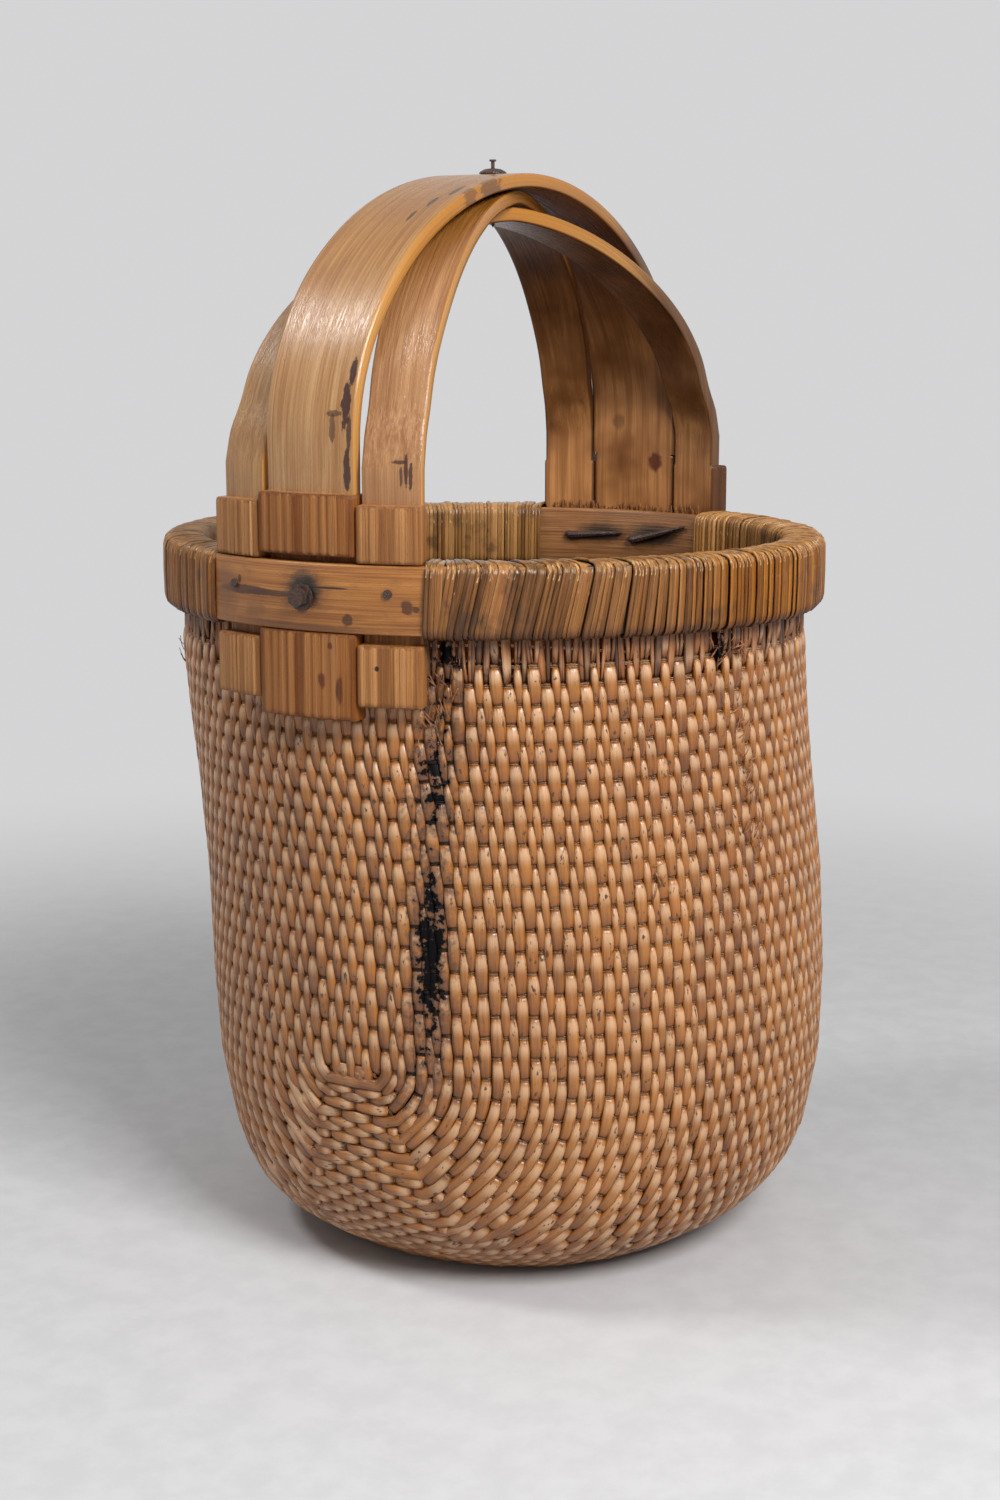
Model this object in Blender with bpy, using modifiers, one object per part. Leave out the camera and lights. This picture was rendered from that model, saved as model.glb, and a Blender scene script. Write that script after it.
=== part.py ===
"""Rice basket: a woven willow body, a rim of two hoops bound with rattan strip, and a handle
of three bent wooden slats that lock round the outer hoop and cross one over another at the crown.

Metres, +Z up. The handle spans along X and the origin is the middle of the base, on the floor.
The near leg is at -X, the far leg at +X, and the front is at -Y.
"""

import math

import bmesh
import bpy
from mathutils import Vector

# Fits
SEAT_GAP = 0.0003
CUT_OVERRUN = 0.002
MERGE_DISTANCE = 0.00001
SMOOTH_ANGLE = math.radians(35)
CIRCLE_ROUNDNESS = 2.0

# Rim, with its outline measured over the binding
RIM_HALF_SPAN = 0.1850
RIM_HALF_DEPTH = 0.1877
RIM_ROUNDNESS = 1.93
HOOP_HEIGHT = 0.3618
HOOP_DEPTH = 0.0346
OUTER_HOOP_THICKNESS = 0.0075
INNER_HOOP_THICKNESS = 0.0065
HOOP_CHAMFER = 0.0030

# Binding of the rim, one strip on each side of the handle
STRIP_THICKNESS = 0.0012
STRIP_SEAT = 0.0005
STRIP_SIDE_GAP = 0.0008
STRIP_PASS_WIDTH = 0.0070
STRIP_CORNER_SHARE = 0.80
BINDING_LOOPS = 24

# Woven body
WALL_THICKNESS = 0.0060
BODY_RADIUS = 0.1762
BODY_LEAN = 0.0164
BODY_LEAN_ANGLE = math.radians(-59)
BASE_ROUNDNESS = 2.12
ROUND_HEIGHT = 0.150
RIM_EASE_HEIGHT = 0.036
LEG_EASE_HEIGHT = 0.046
LEG_EASE_LENGTH = 0.034
LEG_STATIONS = 8
RIB_DEPTH = 0.0022
RIB_FADE_HEIGHT = 0.030
LEG_RIBS = 6

# Height, radius and lean up the body, as shares of the height to the hoops, BODY_RADIUS and BODY_LEAN
body_profile_shares = (
    (0.000, 0.566, 0.84),
    (0.011, 0.647, 0.84),
    (0.039, 0.741, 0.86),
    (0.060, 0.802, 0.90),
    (0.088, 0.858, 0.93),
    (0.122, 0.900, 0.97),
    (0.166, 0.935, 1.00),
    (0.276, 0.981, 0.97),
    (0.415, 1.000, 0.90),
    (0.580, 0.997, 0.75),
    (0.735, 0.992, 0.42),
    (0.805, 0.993, 0.26),
    (0.870, 0.994, 0.14),
    (0.935, 0.997, 0.05),
)

# Handle slats
SLAT_THICKNESS = 0.0078
LUG_PROUD = 0.0060
LUG_STEP = 0.0004
FOOT_SIDE_GAP = 0.0006
SLAT_SECTION_STEPS = 4
ARCH_STEPS = 14
CROWN_RISE = 0.2312
SPRING_RISE = 0.0932
ARCH_ROUNDNESS = 1.93
SLAT_LAYER_GAP = 0.0006
CENTRE_SLAT_WIDTH = 0.0555
CENTRE_FOOT_WIDTH = 0.0596
CENTRE_UPPER_LUG_GAP = 0.0036
CENTRE_UPPER_LUG_HEIGHT = 0.0304
CENTRE_LOWER_LUG_GAP = 0.0005
CENTRE_LOWER_LUG_HEIGHT = 0.0440
CROSS_SLAT_WIDTH = 0.0325
CROSS_FOOT_WIDTH = 0.0345
CROSS_UPPER_LUG_GAP = 0.0007
CROSS_UPPER_LUG_HEIGHT = 0.0284
CROSS_LOWER_LUG_GAP = 0.0057
CROSS_LOWER_LUG_HEIGHT = 0.0311
FLATTEN_HEIGHT = 0.060

# How far each slat lies under the centre slat's line, in slat layers, from the spring to the crown
centre_layer_shares = (0.0, 0.0)
upper_layer_shares = (0.35, 1.00, 1.12, 1.28, 1.40, 1.45, 1.42, 1.34, 1.22, 1.10, 1.00)
lower_layer_shares = (0.30, 1.00, 1.20, 1.50, 1.82, 2.08, 2.25, 2.33, 2.33, 2.24, 2.12)

# Bolt through the near leg
BOLT_RISE = 0.0172
BOLT_DIAMETER = 0.0050
BOLT_HEAD_WIDTH = 0.0088
BOLT_HEAD_HEIGHT = 0.0042
BOLT_TAIL = 0.0020
BOLT_WASHER_DIAMETER = 0.0140
BOLT_WASHER_THICKNESS = 0.0014
BOLT_NUT_WIDTH = 0.0088
BOLT_NUT_HEIGHT = 0.0040

# Small nails through the cross slats at the near leg
NAIL_RISE = 0.0207
NAIL_DIAMETER = 0.0026
NAIL_HEAD_DIAMETER = 0.0046
NAIL_HEAD_THICKNESS = 0.0010
NAIL_LENGTH = 0.0190
NAIL_TIP = 0.0040

# Large nails through the far leg, clenched along the inner hoop
CLENCH_DIAMETER = 0.0046
CLENCH_HEAD_DIAMETER = 0.0100
CLENCH_HEAD_THICKNESS = 0.0016
CLENCH_HEAD_STEP = 0.0001
CLENCH_BEND_RADIUS = 0.0036
CLENCH_LIE_GAP = 0.0007
CLENCH_TIP_SHARE = 0.40
CENTRE_CLENCH_RISE = 0.0172
CENTRE_CLENCH_OFFSET = -0.0060
CENTRE_CLENCH_LENGTH = 0.0420
CENTRE_CLENCH_SLANT = 0.0100
CROSS_CLENCH_RISE = 0.0187
CROSS_CLENCH_OFFSET = 0.0440
CROSS_CLENCH_LENGTH = 0.0360
CROSS_CLENCH_SLANT = 0.0020

# Nail and domed washer at the crown
CROWN_NAIL_DIAMETER = 0.0020
CROWN_NAIL_HEAD_DIAMETER = 0.0038
CROWN_NAIL_HEAD_THICKNESS = 0.0010
CROWN_NAIL_STAND = 0.0050
CROWN_NAIL_TAIL = 0.0015
CROWN_WASHER_DIAMETER = 0.0150
CROWN_WASHER_HEIGHT = 0.0030

TURNED_STEPS = 12
NEAR_LEG_ANGLE = math.pi
FAR_LEG_ANGLE = 0.0

# Radial stack of the rim, as depths in from the outline over the binding, bound and at the legs
foot_thickness = SLAT_THICKNESS + LUG_PROUD
outer_hoop_depths = (STRIP_THICKNESS + STRIP_SEAT, 0.0)
neck_depth = OUTER_HOOP_THICKNESS + SEAT_GAP
wall_depths = (
    outer_hoop_depths[0] + OUTER_HOOP_THICKNESS + SEAT_GAP,
    foot_thickness + SEAT_GAP,
)
inner_hoop_depths = tuple(depth + WALL_THICKNESS + SEAT_GAP for depth in wall_depths)
inner_face_depths = tuple(depth + INNER_HOOP_THICKNESS for depth in inner_hoop_depths)
hoop_top = HOOP_HEIGHT + HOOP_DEPTH
pass_height = HOOP_HEIGHT - STRIP_SEAT - STRIP_THICKNESS
wall_edge_height = pass_height - SEAT_GAP
seat_height = wall_edge_height - HOOP_CHAMFER
wall_top = hoop_top - HOOP_CHAMFER
lower_lug_end = HOOP_HEIGHT - CENTRE_LOWER_LUG_GAP - CENTRE_LOWER_LUG_HEIGHT

# The three slats at the crown, one under another
slat_layer = SLAT_THICKNESS + SLAT_LAYER_GAP
crown_stack = lower_layer_shares[-1] * slat_layer + SLAT_THICKNESS

# Heights that follow the hoops
crown_height = HOOP_HEIGHT + CROWN_RISE
spring_height = HOOP_HEIGHT + SPRING_RISE
bolt_height = HOOP_HEIGHT + BOLT_RISE
nail_height = HOOP_HEIGHT + NAIL_RISE
centre_clench_height = HOOP_HEIGHT + CENTRE_CLENCH_RISE
cross_clench_height = HOOP_HEIGHT + CROSS_CLENCH_RISE

# Angles round the rim
fan_angle = (CENTRE_FOOT_WIDTH / 2 + FOOT_SIDE_GAP + CROSS_FOOT_WIDTH / 2) / RIM_HALF_SPAN
leg_half_angle = (
    CENTRE_FOOT_WIDTH / 2 + 2 * FOOT_SIDE_GAP + CROSS_FOOT_WIDTH
) / RIM_HALF_SPAN
leg_ease_angle = LEG_EASE_LENGTH / RIM_HALF_SPAN
loop_angle = (math.pi - 2 * leg_half_angle) / BINDING_LOOPS


def clear_objects():
    for old in list(bpy.data.objects):
        bpy.data.objects.remove(old, do_unlink=True)


def new_collection(name):
    found = bpy.data.collections.get(name)
    if found is None:
        found = bpy.data.collections.new(name)
        bpy.context.scene.collection.children.link(found)
    return found


def principled(name, colour, roughness, metallic):
    material = bpy.data.materials.new(name)
    material.use_nodes = True
    shader = material.node_tree.nodes["Principled BSDF"]
    shader.inputs["Base Color"].default_value = (*colour, 1.0)
    shader.inputs["Roughness"].default_value = roughness
    shader.inputs["Metallic"].default_value = metallic
    return material


def add_object(name, data, collection, material=None):
    made = bpy.data.objects.new(name, data)
    collection.objects.link(made)
    if material is not None:
        data.materials.append(material)
    return made


def add_guide(name, data, collection):
    """A cutter or a shape that is joined to another: it isn't a piece of the basket."""
    guide = add_object(name, data, collection)
    guide.hide_render = True
    guide.display_type = "WIRE"
    return guide


def mesh_of(name, shape):
    bmesh.ops.recalc_face_normals(shape, faces=shape.faces[:])
    mesh = bpy.data.meshes.new(name)
    shape.to_mesh(mesh)
    shape.free()
    return mesh


def shade_by_angle(mesh):
    mesh.shade_smooth()
    mesh.set_sharp_from_angle(angle=SMOOTH_ANGLE)


def boolean(made, other, operation):
    cut = made.modifiers.new(operation.lower(), "BOOLEAN")
    cut.operation = operation
    cut.solver = "EXACT"
    cut.object = other


def lerp(a, b, share):
    return a + (b - a) * share


def ease(value, low, high):
    share = min(max((value - low) / (high - low), 0.0), 1.0)
    return share * share * (3 - 2 * share)


def superellipse(angle, half_x, half_y, roundness):
    """Distance from the middle to a superellipse in the direction of the angle."""
    along = abs(math.cos(angle) / half_x) ** roundness
    across = abs(math.sin(angle) / half_y) ** roundness
    return (along + across) ** (-1 / roundness)


def rim_radius(angle):
    return superellipse(angle, RIM_HALF_SPAN, RIM_HALF_DEPTH, RIM_ROUNDNESS)


def polar(angle, radius, height):
    return Vector((radius * math.cos(angle), radius * math.sin(angle), height))


def leg_share(angle):
    """1 at the legs of the handle, 0 along the bound runs, smooth between."""
    turn = math.remainder(angle, math.pi)
    return 1 - ease(abs(turn), leg_half_angle, leg_half_angle + leg_ease_angle)


def stack_radius(angle, depths):
    return rim_radius(angle) - lerp(depths[0], depths[1], leg_share(angle))


def rim_angles():
    """The stations round the rim: across each leg, and at the middle of each loop of binding."""
    angles = []
    for leg in (FAR_LEG_ANGLE, NEAR_LEG_ANGLE):
        for step in range(LEG_STATIONS + 1):
            angles.append(leg + leg_half_angle * (2 * step / LEG_STATIONS - 1))
        for loop in range(BINDING_LOOPS):
            angles.append(leg + leg_half_angle + (loop + 0.5) * loop_angle)
    return angles


def loft(sections, closed_along):
    """A closed skin through sections that each have the same number of points."""
    shape = bmesh.new()
    rings = [[shape.verts.new(point) for point in section] for section in sections]
    count = len(sections[0])
    pairs = list(zip(rings, rings[1:]))
    if closed_along:
        pairs.append((rings[-1], rings[0]))
    for first, second in pairs:
        for i in range(count):
            j = (i + 1) % count
            shape.faces.new((first[i], first[j], second[j], second[i]))
    if not closed_along:
        shape.faces.new(rings[0])
        shape.faces.new(rings[-1])
    return shape


# Woven body

def body_stations():
    """Angle and valley share round the body: each rib has a valley and a crest, one rib to a loop."""
    stations = []
    rib_angle = leg_half_angle / LEG_RIBS
    for leg in (FAR_LEG_ANGLE, NEAR_LEG_ANGLE):
        start = leg - leg_half_angle
        for rib in range(LEG_RIBS):
            stations.append((start + 2 * rib * rib_angle, 1.0))
            stations.append((start + (2 * rib + 1) * rib_angle, 0.0))
        start = leg + leg_half_angle
        for loop in range(BINDING_LOOPS):
            stations.append((start + loop * loop_angle, 1.0))
            stations.append((start + (loop + 0.5) * loop_angle, 0.0))
    return stations


def body_point(station, height, lean, radius, roundness):
    """A point of the outer face: the leaning, ribbed belly, eased to its seat between the hoops."""
    angle, valley = station
    radius -= RIB_DEPTH * valley * ease(height, 0.0, RIB_FADE_HEIGHT)
    centre = polar(BODY_LEAN_ANGLE, lean, height)
    belly = centre + polar(angle, superellipse(angle, radius, radius, roundness), 0.0)
    seat = polar(angle, stack_radius(angle, wall_depths), height)
    at_run = ease(height, seat_height - RIM_EASE_HEIGHT, seat_height)
    leg_low = lower_lug_end - LEG_EASE_HEIGHT
    at_leg = ease(height, leg_low, lower_lug_end - LUG_PROUD / 2)
    return belly.lerp(seat, lerp(at_run, at_leg, leg_share(angle)))


def make_woven_body(collection, material):
    stations = body_stations()
    levels = []
    for height_share, radius_share, lean_share in body_profile_shares:
        height = height_share * HOOP_HEIGHT
        roundness = lerp(BASE_ROUNDNESS, CIRCLE_ROUNDNESS, min(height / ROUND_HEIGHT, 1.0))
        lean = lean_share * BODY_LEAN
        radius = radius_share * BODY_RADIUS
        levels.append([body_point(place, height, lean, radius, roundness) for place in stations])
    for height in (seat_height, wall_edge_height):
        levels.append([
            body_point(place, height, 0.0, BODY_RADIUS, CIRCLE_ROUNDNESS) for place in stations
        ])

    shape = bmesh.new()
    ring = [shape.verts.new(point) for point in levels[0]]
    shape.faces.new(ring)
    edges = [shape.edges.get((a, b)) for a, b in zip(ring, ring[1:] + ring[:1])]
    for level in levels[1:]:
        upper = [shape.verts.new(point) for point in level]
        for i in range(len(ring)):
            j = (i + 1) % len(ring)
            shape.faces.new((ring[i], ring[j], upper[j], upper[i]))
        edges = [shape.edges.get((a, b)) for a, b in zip(upper, upper[1:] + upper[:1])]
        ring = upper

    # The crests stand up between the hoops as tabs, and each pass of the binding has its slot between two
    leg_edges = [edge for edge in edges if all(is_leg_corner(v.co) for v in edge.verts)]
    run_edges = [edge for edge in edges if edge not in leg_edges]
    cut = bmesh.ops.subdivide_edges(shape, edges=run_edges, cuts=1)
    quarters = [e for e in cut["geom_inner"] if isinstance(e, bmesh.types.BMEdge)]
    middles = {vertex for vertex, (angle, valley) in zip(ring, stations) if valley == 0.0}
    tabs = [edge for edge in quarters if any(v in middles for v in edge.verts)]
    raised = bmesh.ops.extrude_edge_only(shape, edges=leg_edges + tabs)
    for item in raised["geom"]:
        if isinstance(item, bmesh.types.BMVert):
            item.co.z = wall_top

    body = add_object("woven_body", mesh_of("woven_body", shape), collection, material)
    wall = body.modifiers.new("wall", "SOLIDIFY")
    wall.thickness = WALL_THICKNESS
    wall.offset = -1.0
    wall.use_even_offset = True
    return body


def is_leg_corner(point):
    turn = math.remainder(math.atan2(point.y, point.x), math.pi)
    return abs(turn) < leg_half_angle + loop_angle / 4


# Hoops of the rim

def make_hoop(name, outer_depths, thickness, chamfer_inside, collection, material):
    """A bent wooden band, its covered top and bottom edges eased for the binding."""
    inner_depths = tuple(depth + thickness for depth in outer_depths)
    low, high = HOOP_HEIGHT, hoop_top
    sections = []
    for angle in rim_angles():
        outer = stack_radius(angle, outer_depths)
        inner = stack_radius(angle, inner_depths)
        eased = inner if chamfer_inside else outer
        square = outer if chamfer_inside else inner
        into = HOOP_CHAMFER if chamfer_inside else -HOOP_CHAMFER
        sections.append([
            polar(angle, square, low),
            polar(angle, eased + into, low),
            polar(angle, eased, low + HOOP_CHAMFER),
            polar(angle, eased, high - HOOP_CHAMFER),
            polar(angle, eased + into, high),
            polar(angle, square, high),
        ])
    mesh = mesh_of(name, loft(sections, closed_along=True))
    shade_by_angle(mesh)
    return add_object(name, mesh, collection, material)


# Binding

def make_binding(name, run_start, collection, material):
    """One flat strip wound round both hoops, from one leg of the handle to the other."""
    inside = inner_face_depths[0] + STRIP_SEAT
    outside = STRIP_THICKNESS
    low = HOOP_HEIGHT - STRIP_SEAT
    high = hoop_top + STRIP_SEAT
    slot_in = wall_depths[0] + WALL_THICKNESS + SEAT_GAP
    slot_out = wall_depths[0] - SEAT_GAP
    leg_shift = tuple(depths[1] - depths[0] for depths in (outer_hoop_depths, inner_hoop_depths))
    rim_inner = RIM_HALF_SPAN - inside - STRIP_THICKNESS
    full = loop_angle / 2 - STRIP_SIDE_GAP / 2 / rim_inner
    narrow = STRIP_PASS_WIDTH / 2 / RIM_HALF_SPAN
    corner = full * STRIP_CORNER_SHARE

    # Depth, height, half angle, turn in loops, and which hoop's set at the legs the point follows
    route = (
        (outside, low + HOOP_CHAMFER, full, 0.0, 0),
        (outside, high - HOOP_CHAMFER, full, 0.0, 0),
        (outside + HOOP_CHAMFER, high, full, 0.0, 0),
        (inside - HOOP_CHAMFER, high, full, 0.0, 1),
        (inside, high - HOOP_CHAMFER, full, 0.0, 1),
        (inside, low + HOOP_CHAMFER, full, 0.0, 1),
        (inside - HOOP_CHAMFER, low, corner, 0.0, 1),
        (slot_in, low, narrow, 0.5, 1),
        (slot_out, low, narrow, 0.5, 0),
        (outside + HOOP_CHAMFER, low, corner, 1.0, 0),
    )
    last_on_face = 7
    shape = bmesh.new()
    rungs = []
    for loop in range(BINDING_LOOPS):
        stops = route if loop < BINDING_LOOPS - 1 else route[:last_on_face]
        for depth, height, half, turn, hoop in stops:
            middle = run_start + (loop + 0.5 + turn) * loop_angle
            rung = []
            for side in (-half, half):
                angle = middle + side
                radius = rim_radius(angle) - depth - leg_shift[hoop] * leg_share(angle)
                rung.append(shape.verts.new(polar(angle, radius, height)))
            rungs.append(rung)
    for first, second in zip(rungs, rungs[1:]):
        shape.faces.new((first[0], first[1], second[1], second[0]))
    mesh = bpy.data.meshes.new(name)
    shape.to_mesh(mesh)
    shape.free()
    strip = add_object(name, mesh, collection, material)
    skin = strip.modifiers.new("strip", "SOLIDIFY")
    skin.thickness = STRIP_THICKNESS
    skin.offset = 1.0
    skin.use_even_offset = True
    print(f"{name}: least gap to itself {1000 * least_gap(strip, len(route)):.2f} mm")
    return strip


def least_gap(strip, stops):
    """The least distance between one loop's leading edge and the next loop's trailing edge."""
    shown = strip.evaluated_get(bpy.context.evaluated_depsgraph_get()).to_mesh()
    points = [v.co.copy() for v in shown.vertices]
    half = len(points) // 2
    rungs = half // 2
    least = math.inf
    for skin in (0, half):
        for i in range(rungs):
            point = points[skin + 2 * i + 1]
            for j in range(i + stops // 2, min(i + 2 * stops, rungs - 1)):
                for other in (0, half):
                    a = points[other + 2 * j]
                    b = points[other + 2 * j + 2]
                    run = b - a
                    share = min(max((point - a).dot(run) / run.length_squared, 0.0), 1.0)
                    least = min(least, (point - a - run * share).length)
    return least


# Handle slats

def arch_point(share):
    """A point of the centre slat's outer line, from its spring at 0 to the crown at 1, and its normal."""
    reach = RIM_HALF_SPAN - LUG_PROUD
    rise = crown_height - spring_height
    turn = min(share, 1.0) * math.pi / 2
    out = max(math.cos(turn), 0.0) ** (2 / ARCH_ROUNDNESS) if share < 1.0 else 0.0
    up = math.sin(turn) ** (2 / ARCH_ROUNDNESS)
    normal = Vector((out ** (ARCH_ROUNDNESS - 1) / reach, up ** (ARCH_ROUNDNESS - 1) / rise))
    return reach * out, spring_height + rise * up, normal.normalized()


def share_at(shares, share):
    """A value read from evenly spaced shares, on a smooth curve through them."""
    place = share * (len(shares) - 1)
    low = min(int(place), len(shares) - 2)
    last = len(shares) - 1
    a, b, c, d = (shares[min(max(i, 0), last)] for i in (low - 1, low, low + 1, low + 2))
    t = place - low
    return b + t * ((c - a) + t * ((2 * a - 5 * b + 4 * c - d) + t * (3 * (b - c) + d - a))) / 2


def slat_stations(spec):
    """From foot to crown: radius, height, normal, depths of both faces, width and hold to the rim."""
    reach = rim_radius(spec["turn"]) - LUG_PROUD
    outward = Vector((1.0, 0.0))
    upper_low = hoop_top + spec["upper_gap"]
    upper_high = upper_low + spec["upper_height"]
    lower_high = HOOP_HEIGHT - spec["lower_gap"]
    lower_low = lower_high - spec["lower_height"]
    foot = (
        (lower_low, 0.0, "foot"),
        (lower_high, 0.0, "foot"),
        (lower_high + LUG_STEP, neck_depth, "foot"),
        (upper_low - LUG_STEP, neck_depth, "foot"),
        (upper_low, 0.0, "foot"),
        (upper_high, 0.0, "foot"),
        (upper_high + LUG_STEP, LUG_PROUD, "slat"),
    )
    stations = []
    for height, depth, part in foot:
        stations.append((reach, height, outward, depth, foot_thickness, spec[part], 1.0))
    for step in range(ARCH_STEPS + 1):
        share = step / ARCH_STEPS
        radius, height, normal = arch_point(share)
        radius *= reach / (RIM_HALF_SPAN - LUG_PROUD)
        depth = LUG_PROUD + slat_layer * share_at(spec["layer_shares"], share)
        follow = 1 - ease(height, upper_high, upper_high + FLATTEN_HEIGHT)
        stations.append((radius, height, normal, depth, depth + SLAT_THICKNESS, spec["slat"], follow))
    return stations


def slat_section(station, turn, side):
    """The section at a station, cupped to the rim at the foot and flat in the arch."""
    radius, height, normal, outer_depth, inner_depth, width, follow = station
    heading = Vector((math.cos(turn), math.sin(turn), 0.0)) * side
    across = Vector((-math.sin(turn), math.cos(turn), 0.0))
    section = []
    for depth, order in ((outer_depth, 1), (inner_depth, -1)):
        line_radius = radius - (depth - LUG_PROUD) * normal.x
        line_height = height - (depth - LUG_PROUD) * normal.y
        for step in range(SLAT_SECTION_STEPS + 1):
            lateral = order * width * (step / SLAT_SECTION_STEPS - 0.5)
            flat = heading * line_radius + across * lateral
            flat.z = line_height
            angle = turn + lateral / RIM_HALF_SPAN
            if side < 0:
                angle = turn + math.pi - lateral / RIM_HALF_SPAN
            cupped = polar(angle, line_radius + rim_radius(angle) - rim_radius(turn), line_height)
            section.append(flat.lerp(cupped, follow))
    return section


def make_slat(name, spec, collection, material):
    turn = spec["turn"]
    stations = slat_stations(spec)
    sections = [slat_section(station, turn, 1) for station in stations]
    sections += [slat_section(station, turn, -1) for station in reversed(stations[:-1])]
    mesh = mesh_of(name, loft(sections, closed_along=False))
    shade_by_angle(mesh)
    return add_object(name, mesh, collection, material)


# Fasteners

def radial_frame(angle, height, depth):
    """Where a fastener of the rim sits: its place on the rim and its turn, with +Z pointing out."""
    place = polar(angle, rim_radius(angle) - depth, height)
    outward = Vector((math.cos(angle), math.sin(angle), 0.0))
    return place, outward.to_track_quat("Z", "Y").to_euler()


def turned(name, profile, collection, material):
    """A turned piece from a profile of radius and height, run from the top down its outer side."""
    mesh = bpy.data.meshes.new(name)
    points = [(radius, 0.0, height) for radius, height in profile]
    mesh.from_pydata(points, [(i, i + 1) for i in range(len(points) - 1)], [])
    piece = add_object(name, mesh, collection, material)
    spin = piece.modifiers.new("turn", "SCREW")
    spin.steps = TURNED_STEPS
    spin.render_steps = TURNED_STEPS
    spin.use_merge_vertices = True
    spin.merge_threshold = MERGE_DISTANCE
    spin.use_smooth_shade = False
    return piece


def cylinder(name, radius, length, sides, collection):
    """A cylinder from the origin up its axis."""
    shape = bmesh.new()
    bmesh.ops.create_cone(
        shape, cap_ends=True, segments=sides, radius1=radius, radius2=radius, depth=length
    )
    bmesh.ops.translate(shape, verts=shape.verts[:], vec=(0.0, 0.0, length / 2))
    return add_object(name, mesh_of(name, shape), collection)


def make_bolt(collection, cutters, material):
    """A hexagon bolt through the near leg, with its washer outside and its nut inside the basket."""
    grip = inner_face_depths[1] + SEAT_GAP + BOLT_NUT_HEIGHT + BOLT_TAIL
    head_seat = BOLT_WASHER_THICKNESS + 2 * SEAT_GAP
    place, turn = radial_frame(NEAR_LEG_ANGLE, bolt_height, 0.0)

    corner_share = 1 / math.cos(math.pi / 6)
    bolt = cylinder("near_leg_bolt", BOLT_HEAD_WIDTH / 2 * corner_share, BOLT_HEAD_HEIGHT, 6, collection)
    bolt.data.materials.append(material)
    bolt.location = place + turn.to_matrix() @ Vector((0.0, 0.0, head_seat))
    bolt.rotation_euler = turn
    shank_length = grip + head_seat + CUT_OVERRUN
    shank = cylinder("bolt_shank", BOLT_DIAMETER / 2, shank_length, TURNED_STEPS, cutters)
    shank.location = place - turn.to_matrix() @ Vector((0.0, 0.0, grip))
    shank.rotation_euler = turn
    shank.hide_render = True
    shank.display_type = "WIRE"
    boolean(bolt, shank, "UNION")

    hole = BOLT_DIAMETER / 2 + SEAT_GAP
    washer = turned(
        "near_leg_bolt_washer",
        (
            (hole, BOLT_WASHER_THICKNESS),
            (BOLT_WASHER_DIAMETER / 2, BOLT_WASHER_THICKNESS),
            (BOLT_WASHER_DIAMETER / 2, 0.0),
            (hole, 0.0),
            (hole, BOLT_WASHER_THICKNESS),
        ),
        collection,
        material,
    )
    washer.location = place + turn.to_matrix() @ Vector((0.0, 0.0, SEAT_GAP))
    washer.rotation_euler = turn

    nut = cylinder("near_leg_nut", BOLT_NUT_WIDTH / 2 * corner_share, BOLT_NUT_HEIGHT, 6, collection)
    nut.data.materials.append(material)
    nut_depth = inner_face_depths[1] + SEAT_GAP + BOLT_NUT_HEIGHT
    nut.location = place - turn.to_matrix() @ Vector((0.0, 0.0, nut_depth))
    nut.rotation_euler = turn
    thread = cylinder("nut_thread", hole, shank_length, TURNED_STEPS, cutters)
    thread.location = shank.location
    thread.rotation_euler = turn
    thread.hide_render = True
    thread.display_type = "WIRE"
    boolean(nut, thread, "DIFFERENCE")


def make_small_nail(name, angle, collection, material):
    half = NAIL_DIAMETER / 2
    head = NAIL_HEAD_DIAMETER / 2
    nail = turned(
        name,
        (
            (0.0, NAIL_HEAD_THICKNESS),
            (head, NAIL_HEAD_THICKNESS),
            (head, 0.0),
            (half, 0.0),
            (half, NAIL_TIP - NAIL_LENGTH),
            (0.0, -NAIL_LENGTH),
        ),
        collection,
        material,
    )
    place, turn = radial_frame(angle, nail_height, 0.0)
    nail.location = place + turn.to_matrix() @ Vector((0.0, 0.0, SEAT_GAP))
    nail.rotation_euler = turn


def clench_route(offset, height, length, slant):
    """The nail's centre line: head outside, straight through the leg, bent along the inner hoop."""
    start = offset / RIM_HALF_SPAN
    lie = inner_face_depths[1] + CLENCH_LIE_GAP + CLENCH_DIAMETER / 2
    head_low = -SEAT_GAP
    wide = CLENCH_HEAD_DIAMETER / CLENCH_DIAMETER
    straight = lie - CLENCH_BEND_RADIUS
    route = [
        (start, head_low - CLENCH_HEAD_THICKNESS, height, wide),
        (start, head_low, height, wide),
        (start, head_low + CLENCH_HEAD_STEP, height, 1.0),
        (start, straight, height, 1.0),
    ]
    radius = RIM_HALF_SPAN - lie
    bend = CLENCH_BEND_RADIUS / radius
    for share in (0.33, 0.67):
        turn = share * math.pi / 2
        route.append((
            start - bend * (1 - math.cos(turn)),
            straight + CLENCH_BEND_RADIUS * math.sin(turn),
            height,
            1.0,
        ))
    for share in (0.0, 0.25, 0.5, 0.75, 1.0):
        along = CLENCH_BEND_RADIUS + (length - CLENCH_BEND_RADIUS) * share
        route.append((
            start - along / radius,
            lie - (CLENCH_DIAMETER / 2) * (1 - CLENCH_TIP_SHARE) * share,
            height + slant * share,
            lerp(1.0, CLENCH_TIP_SHARE, share),
        ))
    return route


def make_clenched_nail(name, offset, height, length, slant, collection, material):
    curve = bpy.data.curves.new(name, "CURVE")
    curve.dimensions = "3D"
    curve.bevel_depth = CLENCH_DIAMETER / 2
    curve.bevel_resolution = 2
    curve.use_fill_caps = True
    route = clench_route(offset, height, length, slant)
    spline = curve.splines.new("POLY")
    spline.points.add(len(route) - 1)
    for point, (angle, depth, level, thickness) in zip(spline.points, route):
        place = polar(angle, rim_radius(angle) - depth, level)
        point.co = (*place, 1.0)
        point.radius = thickness
    return add_object(name, curve, collection, material)


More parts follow.
